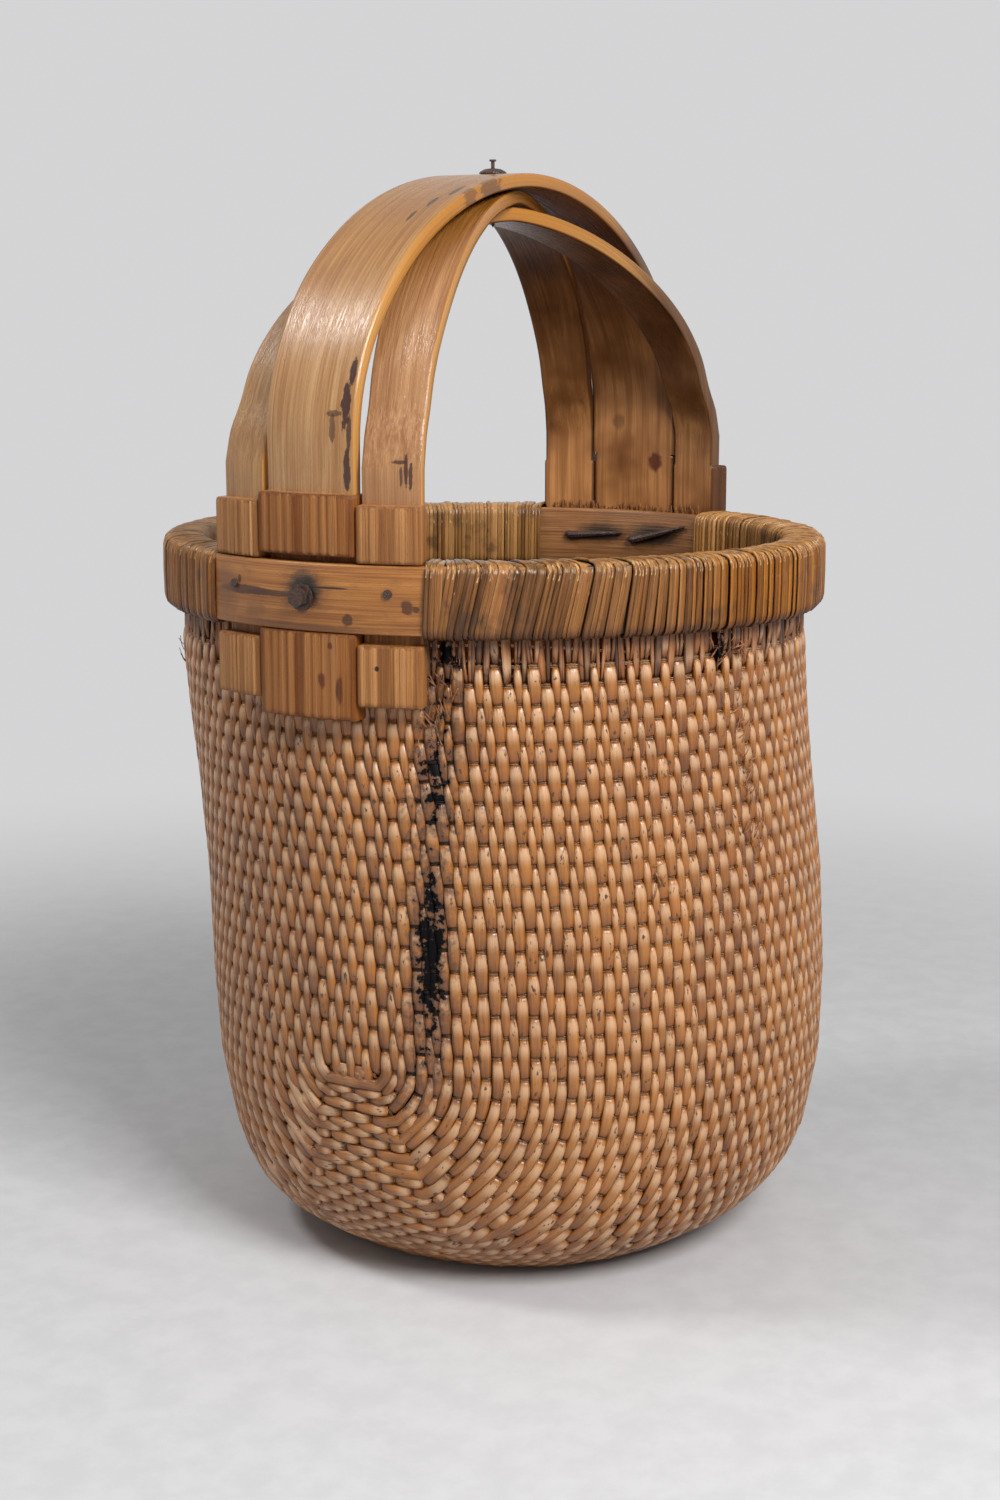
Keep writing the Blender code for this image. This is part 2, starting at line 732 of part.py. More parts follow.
def make_crown_nail(collection, material):
    hole = CROWN_NAIL_DIAMETER / 2 + SEAT_GAP
    rim = CROWN_WASHER_DIAMETER / 2
    dome = []
    for share in (0.0, 0.35, 0.7, 1.0):
        turn = share * math.pi / 2
        dome.append((lerp(hole, rim, math.sin(turn)), CROWN_WASHER_HEIGHT * math.cos(turn)))
    dome[-1] = (rim, CROWN_WASHER_HEIGHT / 4)
    washer = turned(
        "crown_washer", (*dome, (rim, 0.0), (hole, 0.0), dome[0]), collection, material
    )
    washer.location.z = crown_height + SEAT_GAP

    half = CROWN_NAIL_DIAMETER / 2
    head = CROWN_NAIL_HEAD_DIAMETER / 2
    top = crown_height + CROWN_WASHER_HEIGHT + CROWN_NAIL_STAND
    under_head = top - CROWN_NAIL_HEAD_THICKNESS
    turned(
        "crown_nail",
        (
            (0.0, top),
            (head, top),
            (head, under_head),
            (half, under_head),
            (half, crown_height - crown_stack - CROWN_NAIL_TAIL),
            (0.0, crown_height - crown_stack - 2 * CROWN_NAIL_TAIL),
        ),
        collection,
        material,
    )


def make_holes(cutters):
    """One cutter with a hole for each nail and for the bolt, each as deep as its fastener."""
    shape = bmesh.new()
    through = inner_face_depths[1] + CUT_OVERRUN
    holes = (
        (NEAR_LEG_ANGLE, bolt_height, BOLT_DIAMETER, through),
        (NEAR_LEG_ANGLE + fan_angle, nail_height, NAIL_DIAMETER, NAIL_LENGTH),
        (NEAR_LEG_ANGLE - fan_angle, nail_height, NAIL_DIAMETER, NAIL_LENGTH),
        (CENTRE_CLENCH_OFFSET / RIM_HALF_SPAN, centre_clench_height, CLENCH_DIAMETER, through),
        (CROSS_CLENCH_OFFSET / RIM_HALF_SPAN, cross_clench_height, CLENCH_DIAMETER, through),
    )
    for angle, height, diameter, depth in holes:
        place, turn = radial_frame(angle, height, (depth - CUT_OVERRUN) / 2)
        matrix = turn.to_matrix().to_4x4()
        matrix.translation = place
        bmesh.ops.create_cone(
            shape,
            cap_ends=True,
            segments=TURNED_STEPS,
            radius1=diameter / 2 + SEAT_GAP,
            radius2=diameter / 2 + SEAT_GAP,
            depth=depth + CUT_OVERRUN,
            matrix=matrix,
        )
    crown = bmesh.ops.create_cone(
        shape,
        cap_ends=True,
        segments=TURNED_STEPS,
        radius1=CROWN_NAIL_DIAMETER / 2 + SEAT_GAP,
        radius2=CROWN_NAIL_DIAMETER / 2 + SEAT_GAP,
        depth=crown_stack + 2 * CUT_OVERRUN,
    )
    bmesh.ops.translate(shape, verts=crown["verts"], vec=(0.0, 0.0, crown_height - crown_stack / 2))
    return add_guide("fastener_holes", mesh_of("fastener_holes", shape), cutters)


def make_basket():
    clear_objects()
    collection = new_collection("rice_basket")
    cutters = new_collection("cutters")
    willow = principled("woven_willow", (0.45, 0.24, 0.09), 0.55, 0.0)
    rattan = principled("rattan_strip", (0.30, 0.16, 0.05), 0.40, 0.0)
    hoop_wood = principled("hoop_wood", (0.48, 0.26, 0.10), 0.50, 0.0)
    slat_wood = principled("slat_wood", (0.42, 0.21, 0.08), 0.45, 0.0)
    iron = principled("dark_iron", (0.06, 0.05, 0.05), 0.60, 1.0)

    body = make_woven_body(collection, willow)
    outer_hoop = make_hoop(
        "outer_rim_hoop", outer_hoop_depths, OUTER_HOOP_THICKNESS, False, collection, hoop_wood
    )
    inner_hoop = make_hoop(
        "inner_rim_hoop", inner_hoop_depths, INNER_HOOP_THICKNESS, True, collection, hoop_wood
    )
    make_binding("rim_binding_front", NEAR_LEG_ANGLE + leg_half_angle, collection, rattan)
    make_binding("rim_binding_back", FAR_LEG_ANGLE + leg_half_angle, collection, rattan)

    centre = {
        "turn": 0.0,
        "layer_shares": centre_layer_shares,
        "slat": CENTRE_SLAT_WIDTH,
        "foot": CENTRE_FOOT_WIDTH,
        "upper_gap": CENTRE_UPPER_LUG_GAP,
        "upper_height": CENTRE_UPPER_LUG_HEIGHT,
        "lower_gap": CENTRE_LOWER_LUG_GAP,
        "lower_height": CENTRE_LOWER_LUG_HEIGHT,
    }
    cross = {
        "slat": CROSS_SLAT_WIDTH,
        "foot": CROSS_FOOT_WIDTH,
        "upper_gap": CROSS_UPPER_LUG_GAP,
        "upper_height": CROSS_UPPER_LUG_HEIGHT,
        "lower_gap": CROSS_LOWER_LUG_GAP,
        "lower_height": CROSS_LOWER_LUG_HEIGHT,
    }
    upper = dict(cross, turn=fan_angle, layer_shares=upper_layer_shares)
    lower = dict(cross, turn=-fan_angle, layer_shares=lower_layer_shares)
    slats = [
        make_slat("handle_centre_slat", centre, collection, slat_wood),
        make_slat("handle_upper_cross_slat", upper, collection, slat_wood),
        make_slat("handle_lower_cross_slat", lower, collection, slat_wood),
    ]

    holes = make_holes(cutters)
    for pierced in [body, outer_hoop, inner_hoop] + slats:
        boolean(pierced, holes, "DIFFERENCE")
    make_bolt(collection, cutters, iron)
    make_small_nail("near_leg_nail_front", NEAR_LEG_ANGLE + fan_angle, collection, iron)
    make_small_nail("near_leg_nail_back", NEAR_LEG_ANGLE - fan_angle, collection, iron)
    make_clenched_nail(
        "far_leg_clenched_nail_front", CENTRE_CLENCH_OFFSET, centre_clench_height,
        CENTRE_CLENCH_LENGTH, CENTRE_CLENCH_SLANT, collection, iron,
    )
    make_clenched_nail(
        "far_leg_clenched_nail_back", CROSS_CLENCH_OFFSET, cross_clench_height,
        CROSS_CLENCH_LENGTH, CROSS_CLENCH_SLANT, collection, iron,
    )
    make_crown_nail(collection, iron)


make_basket()
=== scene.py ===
import math

import bmesh
import bpy
import numpy as np
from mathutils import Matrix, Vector


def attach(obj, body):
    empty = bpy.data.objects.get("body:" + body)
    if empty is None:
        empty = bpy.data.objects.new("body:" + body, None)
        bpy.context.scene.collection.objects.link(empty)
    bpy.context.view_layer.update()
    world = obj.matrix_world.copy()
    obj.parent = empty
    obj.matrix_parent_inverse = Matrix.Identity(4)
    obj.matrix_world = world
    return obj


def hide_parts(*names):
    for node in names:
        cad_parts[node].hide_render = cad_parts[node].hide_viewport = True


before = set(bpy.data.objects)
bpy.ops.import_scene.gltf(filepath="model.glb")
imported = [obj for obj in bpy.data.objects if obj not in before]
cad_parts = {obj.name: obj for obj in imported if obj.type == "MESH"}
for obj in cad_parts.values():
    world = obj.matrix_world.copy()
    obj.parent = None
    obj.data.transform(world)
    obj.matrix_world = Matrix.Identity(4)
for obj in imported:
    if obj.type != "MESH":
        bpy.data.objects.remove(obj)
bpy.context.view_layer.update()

# Willow rods of the body
# Peeled willow rods lie side by side as one sheet, folded up into a bucket: those in the middle run
# down the front, under the base and up the back, and those at each end come down slanting, turn at a
# mitre under a V and cross the end. Thicker and thinner rods lie in pairs, and their tops are split.
RIM_HALF_SPAN, RIM_HALF_DEPTH, RIM_ROUNDNESS = 0.1850, 0.1877, 1.93
HOOP_LOW, HOOP_TOP = 0.3618, 0.3964
WALL_THICKNESS = 0.0060
BODY_RADIUS = 0.1762
BODY_LEAN = 0.0164
BODY_LEAN_ANGLE = math.radians(-59)
BASE_ROUNDNESS = 2.12
SEAT_HEIGHT = 0.3568
LEG_HALF_ANGLE = 0.3541
LEG_EASE_ANGLE = 0.1838
WALL_DEPTH_AT_RUN, WALL_DEPTH_AT_LEG = 0.0095, 0.0141
ROUND_HEIGHT = 0.150
RUN_SEAT_RISE = 0.036
LEG_SEAT_LOW, LEG_SEAT_HIGH = 0.2713, 0.3143

# Height, radius and lean up the body, as shares of HOOP_LOW, BODY_RADIUS and BODY_LEAN
body_profile = np.array((
    (0.000, 0.566, 0.84), (0.011, 0.647, 0.84), (0.039, 0.741, 0.86), (0.060, 0.802, 0.90),
    (0.088, 0.858, 0.93), (0.122, 0.900, 0.97), (0.166, 0.935, 1.00), (0.276, 0.981, 0.97),
    (0.415, 1.000, 0.90), (0.580, 0.997, 0.75), (0.735, 0.992, 0.42), (0.805, 0.993, 0.26),
    (0.870, 0.994, 0.14), (0.935, 0.997, 0.05), (1.000, 1.000, 0.00), (1.120, 1.000, 0.00),
))
profile_heights = body_profile[:, 0] * HOOP_LOW
profile_radii = body_profile[:, 1] * BODY_RADIUS
profile_leans = body_profile[:, 2] * BODY_LEAN


def ease(value, low, high):
    """0 below low, 1 above high, smooth between."""
    share = np.clip((value - low) / (high - low), 0.0, 1.0)
    return share * share * (3 - 2 * share)


def superellipse(angle, half_x, half_y, roundness):
    along = np.abs(np.cos(angle) / half_x) ** roundness
    across = np.abs(np.sin(angle) / half_y) ** roundness
    return (along + across) ** (-1 / roundness)


def rim_radius(angle):
    return superellipse(angle, RIM_HALF_SPAN, RIM_HALF_DEPTH, RIM_ROUNDNESS)


def leg_share(angle):
    """1 at the legs of the handle, 0 along the bound runs, smooth between."""
    turn = np.abs(np.remainder(angle + math.pi / 2, math.pi) - math.pi / 2)
    return 1 - ease(turn, LEG_HALF_ANGLE, LEG_HALF_ANGLE + LEG_EASE_ANGLE)


def unit(vectors):
    return vectors / np.linalg.norm(vectors, axis=-1, keepdims=True)


def run_lengths(points):
    """How far along its own line each point lies."""
    return np.concatenate([[0.0], np.cumsum(np.linalg.norm(np.diff(points, axis=0), axis=1))])


def read_at(places, lengths, table):
    """The columns of a table, read at places along its lengths."""
    return np.stack([np.interp(places, lengths, column) for column in table.T], -1)


def polar(angle, radius, height):
    return np.stack([radius * np.cos(angle), radius * np.sin(angle), height + 0 * angle], -1)


def body_point(angle, height):
    """A point of the body's outer face: the leaning belly, eased to its seat between the hoops."""
    radius = np.interp(height, profile_heights, profile_radii)
    lean = np.interp(height, profile_heights, profile_leans)
    roundness = BASE_ROUNDNESS + (2 - BASE_ROUNDNESS) * np.minimum(height / ROUND_HEIGHT, 1)
    belly = polar(angle, superellipse(angle, radius, radius, roundness), height)
    belly = belly + polar(BODY_LEAN_ANGLE + 0 * angle, lean, 0 * height)
    leg = leg_share(angle)
    depth = WALL_DEPTH_AT_RUN + (WALL_DEPTH_AT_LEG - WALL_DEPTH_AT_RUN) * leg
    seat = polar(angle, rim_radius(angle) - depth, height)
    at_run = ease(height, SEAT_HEIGHT - RUN_SEAT_RISE, SEAT_HEIGHT)
    at_leg = ease(height, LEG_SEAT_LOW, LEG_SEAT_HIGH)
    share = at_run + (at_leg - at_run) * leg
    return belly + (seat - belly) * share[..., None]


def body_normal(angle, height):
    step = 0.0008
    turn = step / BODY_RADIUS
    around = body_point(angle + turn, height) - body_point(angle - turn, height)
    up = body_point(angle, height + step) - body_point(angle, np.maximum(height - step, 0.0))
    return unit(np.cross(around, up))


# Where the sheet of rods lies: its half width, the half width of the base, and the arc up the ends
ROD_PITCH = 0.00508
V_HALF_WIDTH = 0.0120
V_HEIGHT = 0.131
BASE_RADIUS = 0.566 * BODY_RADIUS
QUARTER_TURN = BODY_RADIUS * math.pi / 2
SHEET_HALF_WIDTH = QUARTER_TURN - V_HALF_WIDTH
BASE_BEND_HEIGHT, END_BEND_HEIGHT = 0.060, 0.050
END_BEND_SHARE, SHARP_MITRE = 0.45, 0.35
rng = np.random.default_rng(7)
arc_heights = np.linspace(0.0, 0.400, 801)
arc_radii = np.interp(arc_heights, profile_heights, profile_radii)
arc_lengths = np.concatenate([[0.0], np.cumsum(np.hypot(np.diff(arc_heights), np.diff(arc_radii)))])
v_arc = np.interp(V_HEIGHT, arc_heights, arc_lengths)

rod_count = int(round(2 * SHEET_HALF_WIDTH / ROD_PITCH))
rod_is_thick = np.arange(rod_count) % 4 < 2
rod_widths = np.where(rod_is_thick, 1.28, 0.72) * rng.normal(1, 0.04, rod_count)
edges = np.concatenate([[0.0], np.cumsum(rod_widths)])
rod_widths *= 2 * SHEET_HALF_WIDTH / edges[-1]
edges *= 2 * SHEET_HALF_WIDTH / edges[-1]
rod_places = (edges[:-1] + edges[1:]) / 2 - SHEET_HALF_WIDTH


def leg_turn(far, heights):
    """How far round from the middle of a side a rod's leg is: straight high up, slanting below the V."""
    upper = QUARTER_TURN - far
    reach = upper - V_HALF_WIDTH
    down = np.maximum(v_arc - np.interp(heights, arc_heights, arc_lengths), 0.0)
    slant_from = reach * math.sin(math.pi / 4)
    arc = reach - np.sqrt(reach ** 2 - np.minimum(down, slant_from) ** 2)
    shift = arc + np.maximum(down - slant_from, 0.0)
    shift = shift * (1 - float(ease(upper / BODY_RADIUS, math.radians(50), math.radians(90))))
    return (far + shift) / BODY_RADIUS


def rod_half_path(place):
    """Angles and heights of a rod's front half, its mitre's place in them, and how sharp the mitre is."""
    side = 1.0 if place > 0 else -1.0
    far = abs(place)
    arc = (far - BASE_RADIUS) * v_arc / (SHEET_HALF_WIDTH - BASE_RADIUS)
    low = float(np.interp(arc, arc_lengths, arc_heights)) if arc > 0 else 0.0
    heights = np.concatenate([np.arange(ROD_TOP, low + FOOT_REACH, -PATH_STEP),
                              low + FOOT_REACH * np.linspace(1.0, 0.0, 25) ** 2])
    radii = np.interp(heights, profile_heights, profile_radii)
    turn = leg_turn(far, heights)
    if arc <= 0:
        chord = np.arcsin(np.minimum(far / radii, 1.0))
        turn = chord + (turn - chord) * ease(heights, 0.0, BASE_BEND_HEIGHT)
        return -math.pi / 2 + side * turn, heights, None, 0.0
    # The lowest end rods bend round in one curve, and those above them have a sharper mitre
    chord = np.arcsin(np.minimum(radii[-1] / radii, 1.0))
    bend = 1 - float(ease(arc / v_arc, 0.0, END_BEND_SHARE))
    turn = turn + (chord - turn) * bend * (1 - ease(heights, low, low + END_BEND_HEIGHT))
    half = math.pi / 2 - turn[-1]
    run = max(int(half * radii[-1] / PATH_STEP), 2)
    mitre = len(turn) - 1
    turn = np.concatenate([turn, math.pi / 2 - half * np.linspace(1.0, 0.0, run + 1)[1:]])
    heights = np.concatenate([heights, np.full(run, low)])
    return -math.pi / 2 + side * turn, heights, mitre, 1 - bend


def rod_path(place):
    """A rod's way over the outer face, front top to back top: points, normals, side y, height, mitres."""
    angles, heights, mitre, sharpness = rod_half_path(place)
    front, front_normals = body_point(angles, heights), body_normal(angles, heights)
    back, back_normals = body_point(-angles, heights)[::-1], body_normal(-angles, heights)[::-1]
    centre = np.interp(heights, profile_heights, profile_leans) * math.sin(BODY_LEAN_ANGLE)
    side_y = front[:, 1] - centre
    if mitre is not None:
        points = np.concatenate([front, back[1:]])
        normals = np.concatenate([front_normals, back_normals[1:]])
        side_y = np.concatenate([side_y, -side_y[::-1][1:]])
        heights = np.concatenate([heights, heights[::-1][1:]])
        mitres = [mitre, len(points) - 1 - mitre] if sharpness > SHARP_MITRE else []
    else:
        steps = max(int(2 * abs(side_y[-1]) / PATH_STEP), 2)
        share = np.linspace(0.0, 1.0, steps + 1)[1:-1, None]
        flat = front[-1] + (back[0] - front[-1]) * share
        points = np.concatenate([front, flat, back])
        normals = np.concatenate([front_normals, np.tile((0.0, 0.0, -1.0), (len(flat), 1)), back_normals])
        side_y = np.concatenate([side_y, side_y[-1] * (1 - 2 * share[:, 0]), -side_y[::-1]])
        heights = np.concatenate([heights, 0 * flat[:, 2], heights[::-1]])
        mitres = []
    return points, normals, side_y, heights, mitres


def crossings(side_y, heights, lengths, mitres):
    """Where the wefts cross a rod: rings up the wall, lines across the base and ends, and the mitres."""
    found = []
    slope = np.abs(np.gradient(heights)) > 0.8 * np.abs(np.gradient(side_y))
    for i in range(len(heights) - 1):
        if slope[i]:
            for ring in np.nonzero((ring_heights - heights[i]) * (ring_heights - heights[i + 1]) < 0)[0]:
                share = (ring_heights[ring] - heights[i]) / (heights[i + 1] - heights[i])
                length = lengths[i] + share * (lengths[i + 1] - lengths[i])
                found.append((length, "ring", int(ring), side_y[i] > 0))
        else:
            low, high = sorted((side_y[i] / LINE_PITCH, side_y[i + 1] / LINE_PITCH))
            for line in range(math.ceil(low), math.floor(high) + 1):
                if low < line <= high or (line == 0 and low <= 0 < high):
                    share = (line * LINE_PITCH - side_y[i]) / (side_y[i + 1] - side_y[i])
                    length = lengths[i] + share * (lengths[i + 1] - lengths[i])
                    found.append((length, "line", line, False))
    corners = [lengths[mitre] for mitre in mitres]
    kept = []
    for crossing in sorted(found):
        if any(abs(crossing[0] - corner) < MITRE_CLEAR for corner in corners):
            continue
        if kept and crossing[0] - kept[-1][0] < LEAST_FLOAT:
            if crossing[1] == "line":
                continue
            kept.pop()
        kept.append(crossing)
    return sorted(kept + [(corner, "mitre", k, False) for k, corner in enumerate(corners)])


ROD_TOP = 0.3850
PATH_STEP = 0.0010
FOOT_REACH = 0.0120
LINE_PITCH = 0.0095
LEAST_FLOAT = 0.0068
MITRE_CLEAR = 0.0068
FLOAT_DEEP = 0.0028
FLOAT_SEAT = 0.0009
ROD_SIDES = 8
FLOAT_STEPS = (0.0, 0.074, 0.094, 0.16, 0.34, 0.64)
THICK_BARREL, THIN_BARREL = 0.03, 0.32
SECTION_SIDE_POWER, SECTION_TOP_POWER = 0.80, 0.75
ROD_OVERHANG = 0.0012
THICK_ROD_WIDTH = 0.0045
SPLINTER_STOP = 0.0130
SPLINTER_HALF_DEPTH, FIBRE_HALF_DEPTH = 0.0008, 0.00018
SPLINTER_SHARES = np.array((0.0, 0.10, 0.28, 0.50, 0.75, 1.0))

# Rings of weft up the wall, closer together under the rim
ring_arcs = [np.interp(0.3455, arc_heights, arc_lengths)]
while ring_arcs[-1] > 0.030:
    ring_arcs.append(ring_arcs[-1] - (0.0097 + 0.0017 * float(ease(ring_arcs[0] - ring_arcs[-1], 0.0, 0.14))))
ring_heights = np.interp(ring_arcs, arc_lengths, arc_heights)

# The black streak that runs down the near side from the rim: its height, angle and blackness
STREAK_HALF_WIDTH, STREAK_WIDENING, HALO_HALF_WIDTH = 0.0060, 0.0050, 0.0140
SPOT_ANGLE, SPOT_HEIGHT, SPOT_RADIUS = -1.880, 0.349, 0.0045
streak_heights, streak_angles, streak_strengths = np.array((
    (0.104, -2.850, 0.00), (0.123, -2.829, 0.34), (0.139, -2.800, 0.44), (0.159, -2.791, 0.50),
    (0.174, -2.785, 0.68), (0.184, -2.790, 0.74), (0.204, -2.784, 0.78), (0.225, -2.784, 0.70),
    (0.240, -2.775, 0.42), (0.262, -2.771, 0.36), (0.275, -2.771, 0.72), (0.295, -2.770, 0.80),
    (0.304, -2.765, 0.46), (0.320, -2.755, 0.34), (0.340, -2.745, 0.55), (0.355, -2.734, 0.66),
)).T


def tar_on(points):
    """How much tar lies at points of the body: the streak down the near side and a spot under the rim."""
    angles, heights = np.arctan2(points[..., 1], points[..., 0]), points[..., 2]
    off = (angles - np.interp(heights, streak_heights, streak_angles)) * BODY_RADIUS
    half_width = STREAK_HALF_WIDTH + STREAK_WIDENING * ease(-heights, -0.290, -0.190)
    strength = np.interp(heights, streak_heights, streak_strengths)
    core = strength * np.exp(-(off / half_width) ** 2)
    streak = np.maximum(core, 0.50 * strength ** 0.4 * np.exp(-(off / HALO_HALF_WIDTH) ** 4))
    spot = np.hypot((angles - SPOT_ANGLE) * BODY_RADIUS, (heights - SPOT_HEIGHT) * 0.7)
    return np.clip(streak + np.exp(-(spot / SPOT_RADIUS) ** 2), 0.0, 1.0) * (heights > 0.02)


def float_rise(share):
    """How far a float has risen on its way from the weft over it to its crest: steep, then rounded."""
    clear = max(share - FLOAT_STEPS[1] * 0.9, 0.0) / (1 - FLOAT_STEPS[1] * 0.9)
    return 0.50 * (1 - (1 - clear) ** 50) + 0.50 * (1 - (1 - clear) ** 2.2)


def rod_sections(ties):
    """Sample places along a rod, how far in or out it is, and its place in each float."""
    places, outers, inners, marks = [], [], [], []
    for k in range(len(ties) - 1):
        (start, sign_a), (end, sign_b) = ties[k], ties[k + 1]
        falling = sign_a > 0 and sign_b < 0
        for share in [min(1 - step, 0.999) for step in FLOAT_STEPS[::-1]] if falling else FLOAT_STEPS:
            up, down = float_rise(share), float_rise(1 - share)
            if sign_a == sign_b:
                outer, inner = (1.0, 0.0) if sign_a > 0 else (0.0, 1.0)
            elif sign_a < 0:
                outer, inner = up, 1 - up
            else:
                outer, inner = down, 1 - down
            places.append(start + (end - start) * share)
            outers.append(outer)
            inners.append(inner)
            marks.append(share / 2 if sign_a < 0 else 0.5 + share / 2)
    return np.array(places), np.array(outers), np.array(inners), np.array(marks)


def link(name, data):
    made = bpy.data.objects.new(name, data)
    bpy.context.scene.collection.objects.link(made)
    return made


def new_curve(name, thickness):
    curve = bpy.data.curves.new(name, "CURVE")
    curve.dimensions = "3D"
    curve.bevel_depth = thickness
    return curve


def add_line(curve, points, closed=False):
    spline = curve.splines.new("POLY")
    spline.points.add(len(points) - 1)
    spline.points.foreach_set("co", np.c_[points, np.ones(len(points))].ravel())
    spline.use_cyclic_u = closed
    return spline


def swept(name, curve, material):
    """The mesh that a curve sweeps, and its points."""
    holder = link(name + "_curve", curve)
    mesh = bpy.data.meshes.new_from_object(holder.evaluated_get(bpy.context.evaluated_depsgraph_get()))
    bpy.data.objects.remove(holder)
    mesh.name = name
    mesh.materials.clear()
    mesh.materials.append(material)
    mesh.shade_smooth()
    points = np.empty(len(mesh.vertices) * 3)
    mesh.vertices.foreach_get("co", points)
    return mesh, points.reshape(-1, 3)


def note(mesh, label, values):
    """Writes a number or a vector on every vertex, for the materials to read."""
    kind, field = ("FLOAT", "value") if values.ndim == 1 else ("FLOAT_VECTOR", "vector")
    mesh.attributes.new(label, kind, "POINT").data.foreach_set(field, values.astype(np.float32).ravel())


def strand(centres, normals, half_widths, half_depths, along, levels, *marks):
    """What build_rods is told of one rod; a single number holds for its whole length."""
    def spread(value):
        return np.zeros(len(centres)) + value

    return {
        "centres": centres,
        "normals": normals,
        "half_widths": spread(half_widths),
        "half_depths": spread(half_depths),
        "lie": np.stack([spread(0.0), spread(along), spread(0.0)], -1),
        "levels": spread(levels),
        "marks": np.stack([spread(mark) for mark in marks], -1),
    }


def build_rods(name, rods, material, sides=ROD_SIDES):
    """One mesh of several rods, each swept along its way with a flattened section."""
    curve = new_curve(name, 1.0)
    curve.bevel_resolution = (sides - 4) // 2
    for rod in rods:
        rod["sides"] = unit(np.cross(rod["normals"], np.gradient(rod["centres"], axis=0)))
        add_line(curve, rod["centres"]).points.foreach_set("radius", rod["half_widths"])
    mesh, points = swept(name, curve, material)
    centres, normals, side_ways, half_widths, half_depths, lie, marks, levels = (
        np.concatenate([rod[key] for rod in rods])[:, None] for key in (
            "centres", "normals", "sides", "half_widths", "half_depths", "lie", "marks", "levels"))
    # Each round section is stood upright on the rod's way, then made as wide and as deep as it should be
    from_centre = points.reshape(len(centres), sides, 3) - centres
    across = np.clip((from_centre * side_ways).sum(-1) / half_widths, -1.0, 1.0)
    outward = np.sqrt(1 - across ** 2) * np.sign((from_centre * normals).sum(-1))
    aside = np.sign(across) * np.abs(across) ** SECTION_SIDE_POWER * half_widths
    outward = np.sign(outward) * np.abs(outward) ** SECTION_TOP_POWER * half_depths
    points = centres + aside[:, :, None] * side_ways + outward[:, :, None] * normals
    mesh.vertices.foreach_set("co", points.astype(np.float32).ravel())
    lie = np.repeat(lie, sides, 1)
    lie[:, :, 0] = np.linspace(0, 2 * math.pi, sides, endpoint=False)[None, :] * half_widths
    lie[:, :, 2] = levels + outward
    note(mesh, "lie", lie.reshape(-1, 3))
    note(mesh, "marks", np.repeat(marks, sides, 1).reshape(-1, 3))
    note(mesh, "tar", tar_on(points).ravel())
    shape = bmesh.new()
    shape.from_mesh(mesh)
    bmesh.ops.holes_fill(shape, edges=[edge for edge in shape.edges if edge.is_boundary], sides=0)
    shape.to_mesh(mesh)
    shape.free()
    made = link(name, mesh)
    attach(made, "root")
    return made


def lay_rod(points, normals, found, signs, width, thick):
    """The centre line and section of one rod, woven over and under the wefts that cross it."""
    lengths = run_lengths(points)
    ties = list(zip([crossing[0] for crossing in found], signs))
    top_ends = []
    for end in (0, -1):
        while ties[end][1] > 0:
            ties.pop(end)
        top_ends.append(ties[end][0])
    woven = [ties[0]]
    for tie in ties[1:]:
        if tie[1] < 0 and woven[-1][1] < 0:
            woven.append(((tie[0] + woven[-1][0]) / 2, 1))
        woven.append(tie)
    ties = [(woven[0][0] - ROD_OVERHANG, -1)] + woven + [(woven[-1][0] + ROD_OVERHANG, -1)]
    places, outers, inners, marks = rod_sections(ties)
    centre = read_at(places, lengths, points)
    normal = unit(read_at(places, lengths, normals))
    tones = rng.random(len(ties) + 1)
    float_number = np.searchsorted([tie[0] for tie in ties], places, side="right")
    # Places in each float count from its upper end, so that the willow finish paints its highlight on the upper part
    # and its shade on the lower
    marks = np.where(np.gradient(centre[:, 2]) > 0, 1 - marks, marks)
    sunk = 1 - 0.55 * tar_on(centre)
    swell = 1 + 0.10 * (tones[float_number] - 0.5)
    outer = FLOAT_SEAT + FLOAT_DEEP * outers * sunk * swell
    inner = FLOAT_SEAT + FLOAT_DEEP * inners
    barrel = THICK_BARREL if thick else THIN_BARREL
    x, height = centre[:, 0], centre[:, 2]
    high = ease(height, 0.06, 0.27)
    taper = 0.95 + 0.13 * high if thick else 1.20 - 0.20 * high
    taper = taper + 0.09 * (1 - ease(height, 0.0, 0.03))
    taper = taper + 0.10 * (1 - ease(height, 0.06, 0.12)) * ease(np.abs(x), 0.06, 0.10)
    half_widths = width / 2 * taper * (1.0 + barrel * (outers - inners))
    level = (outer - inner) / 2
    line = centre + normal * (level - WALL_THICKNESS / 2)[:, None]
    return strand(line, normal, half_widths, (outer + inner) / 2, places, level,
                  rng.random(), tones[float_number], marks), top_ends


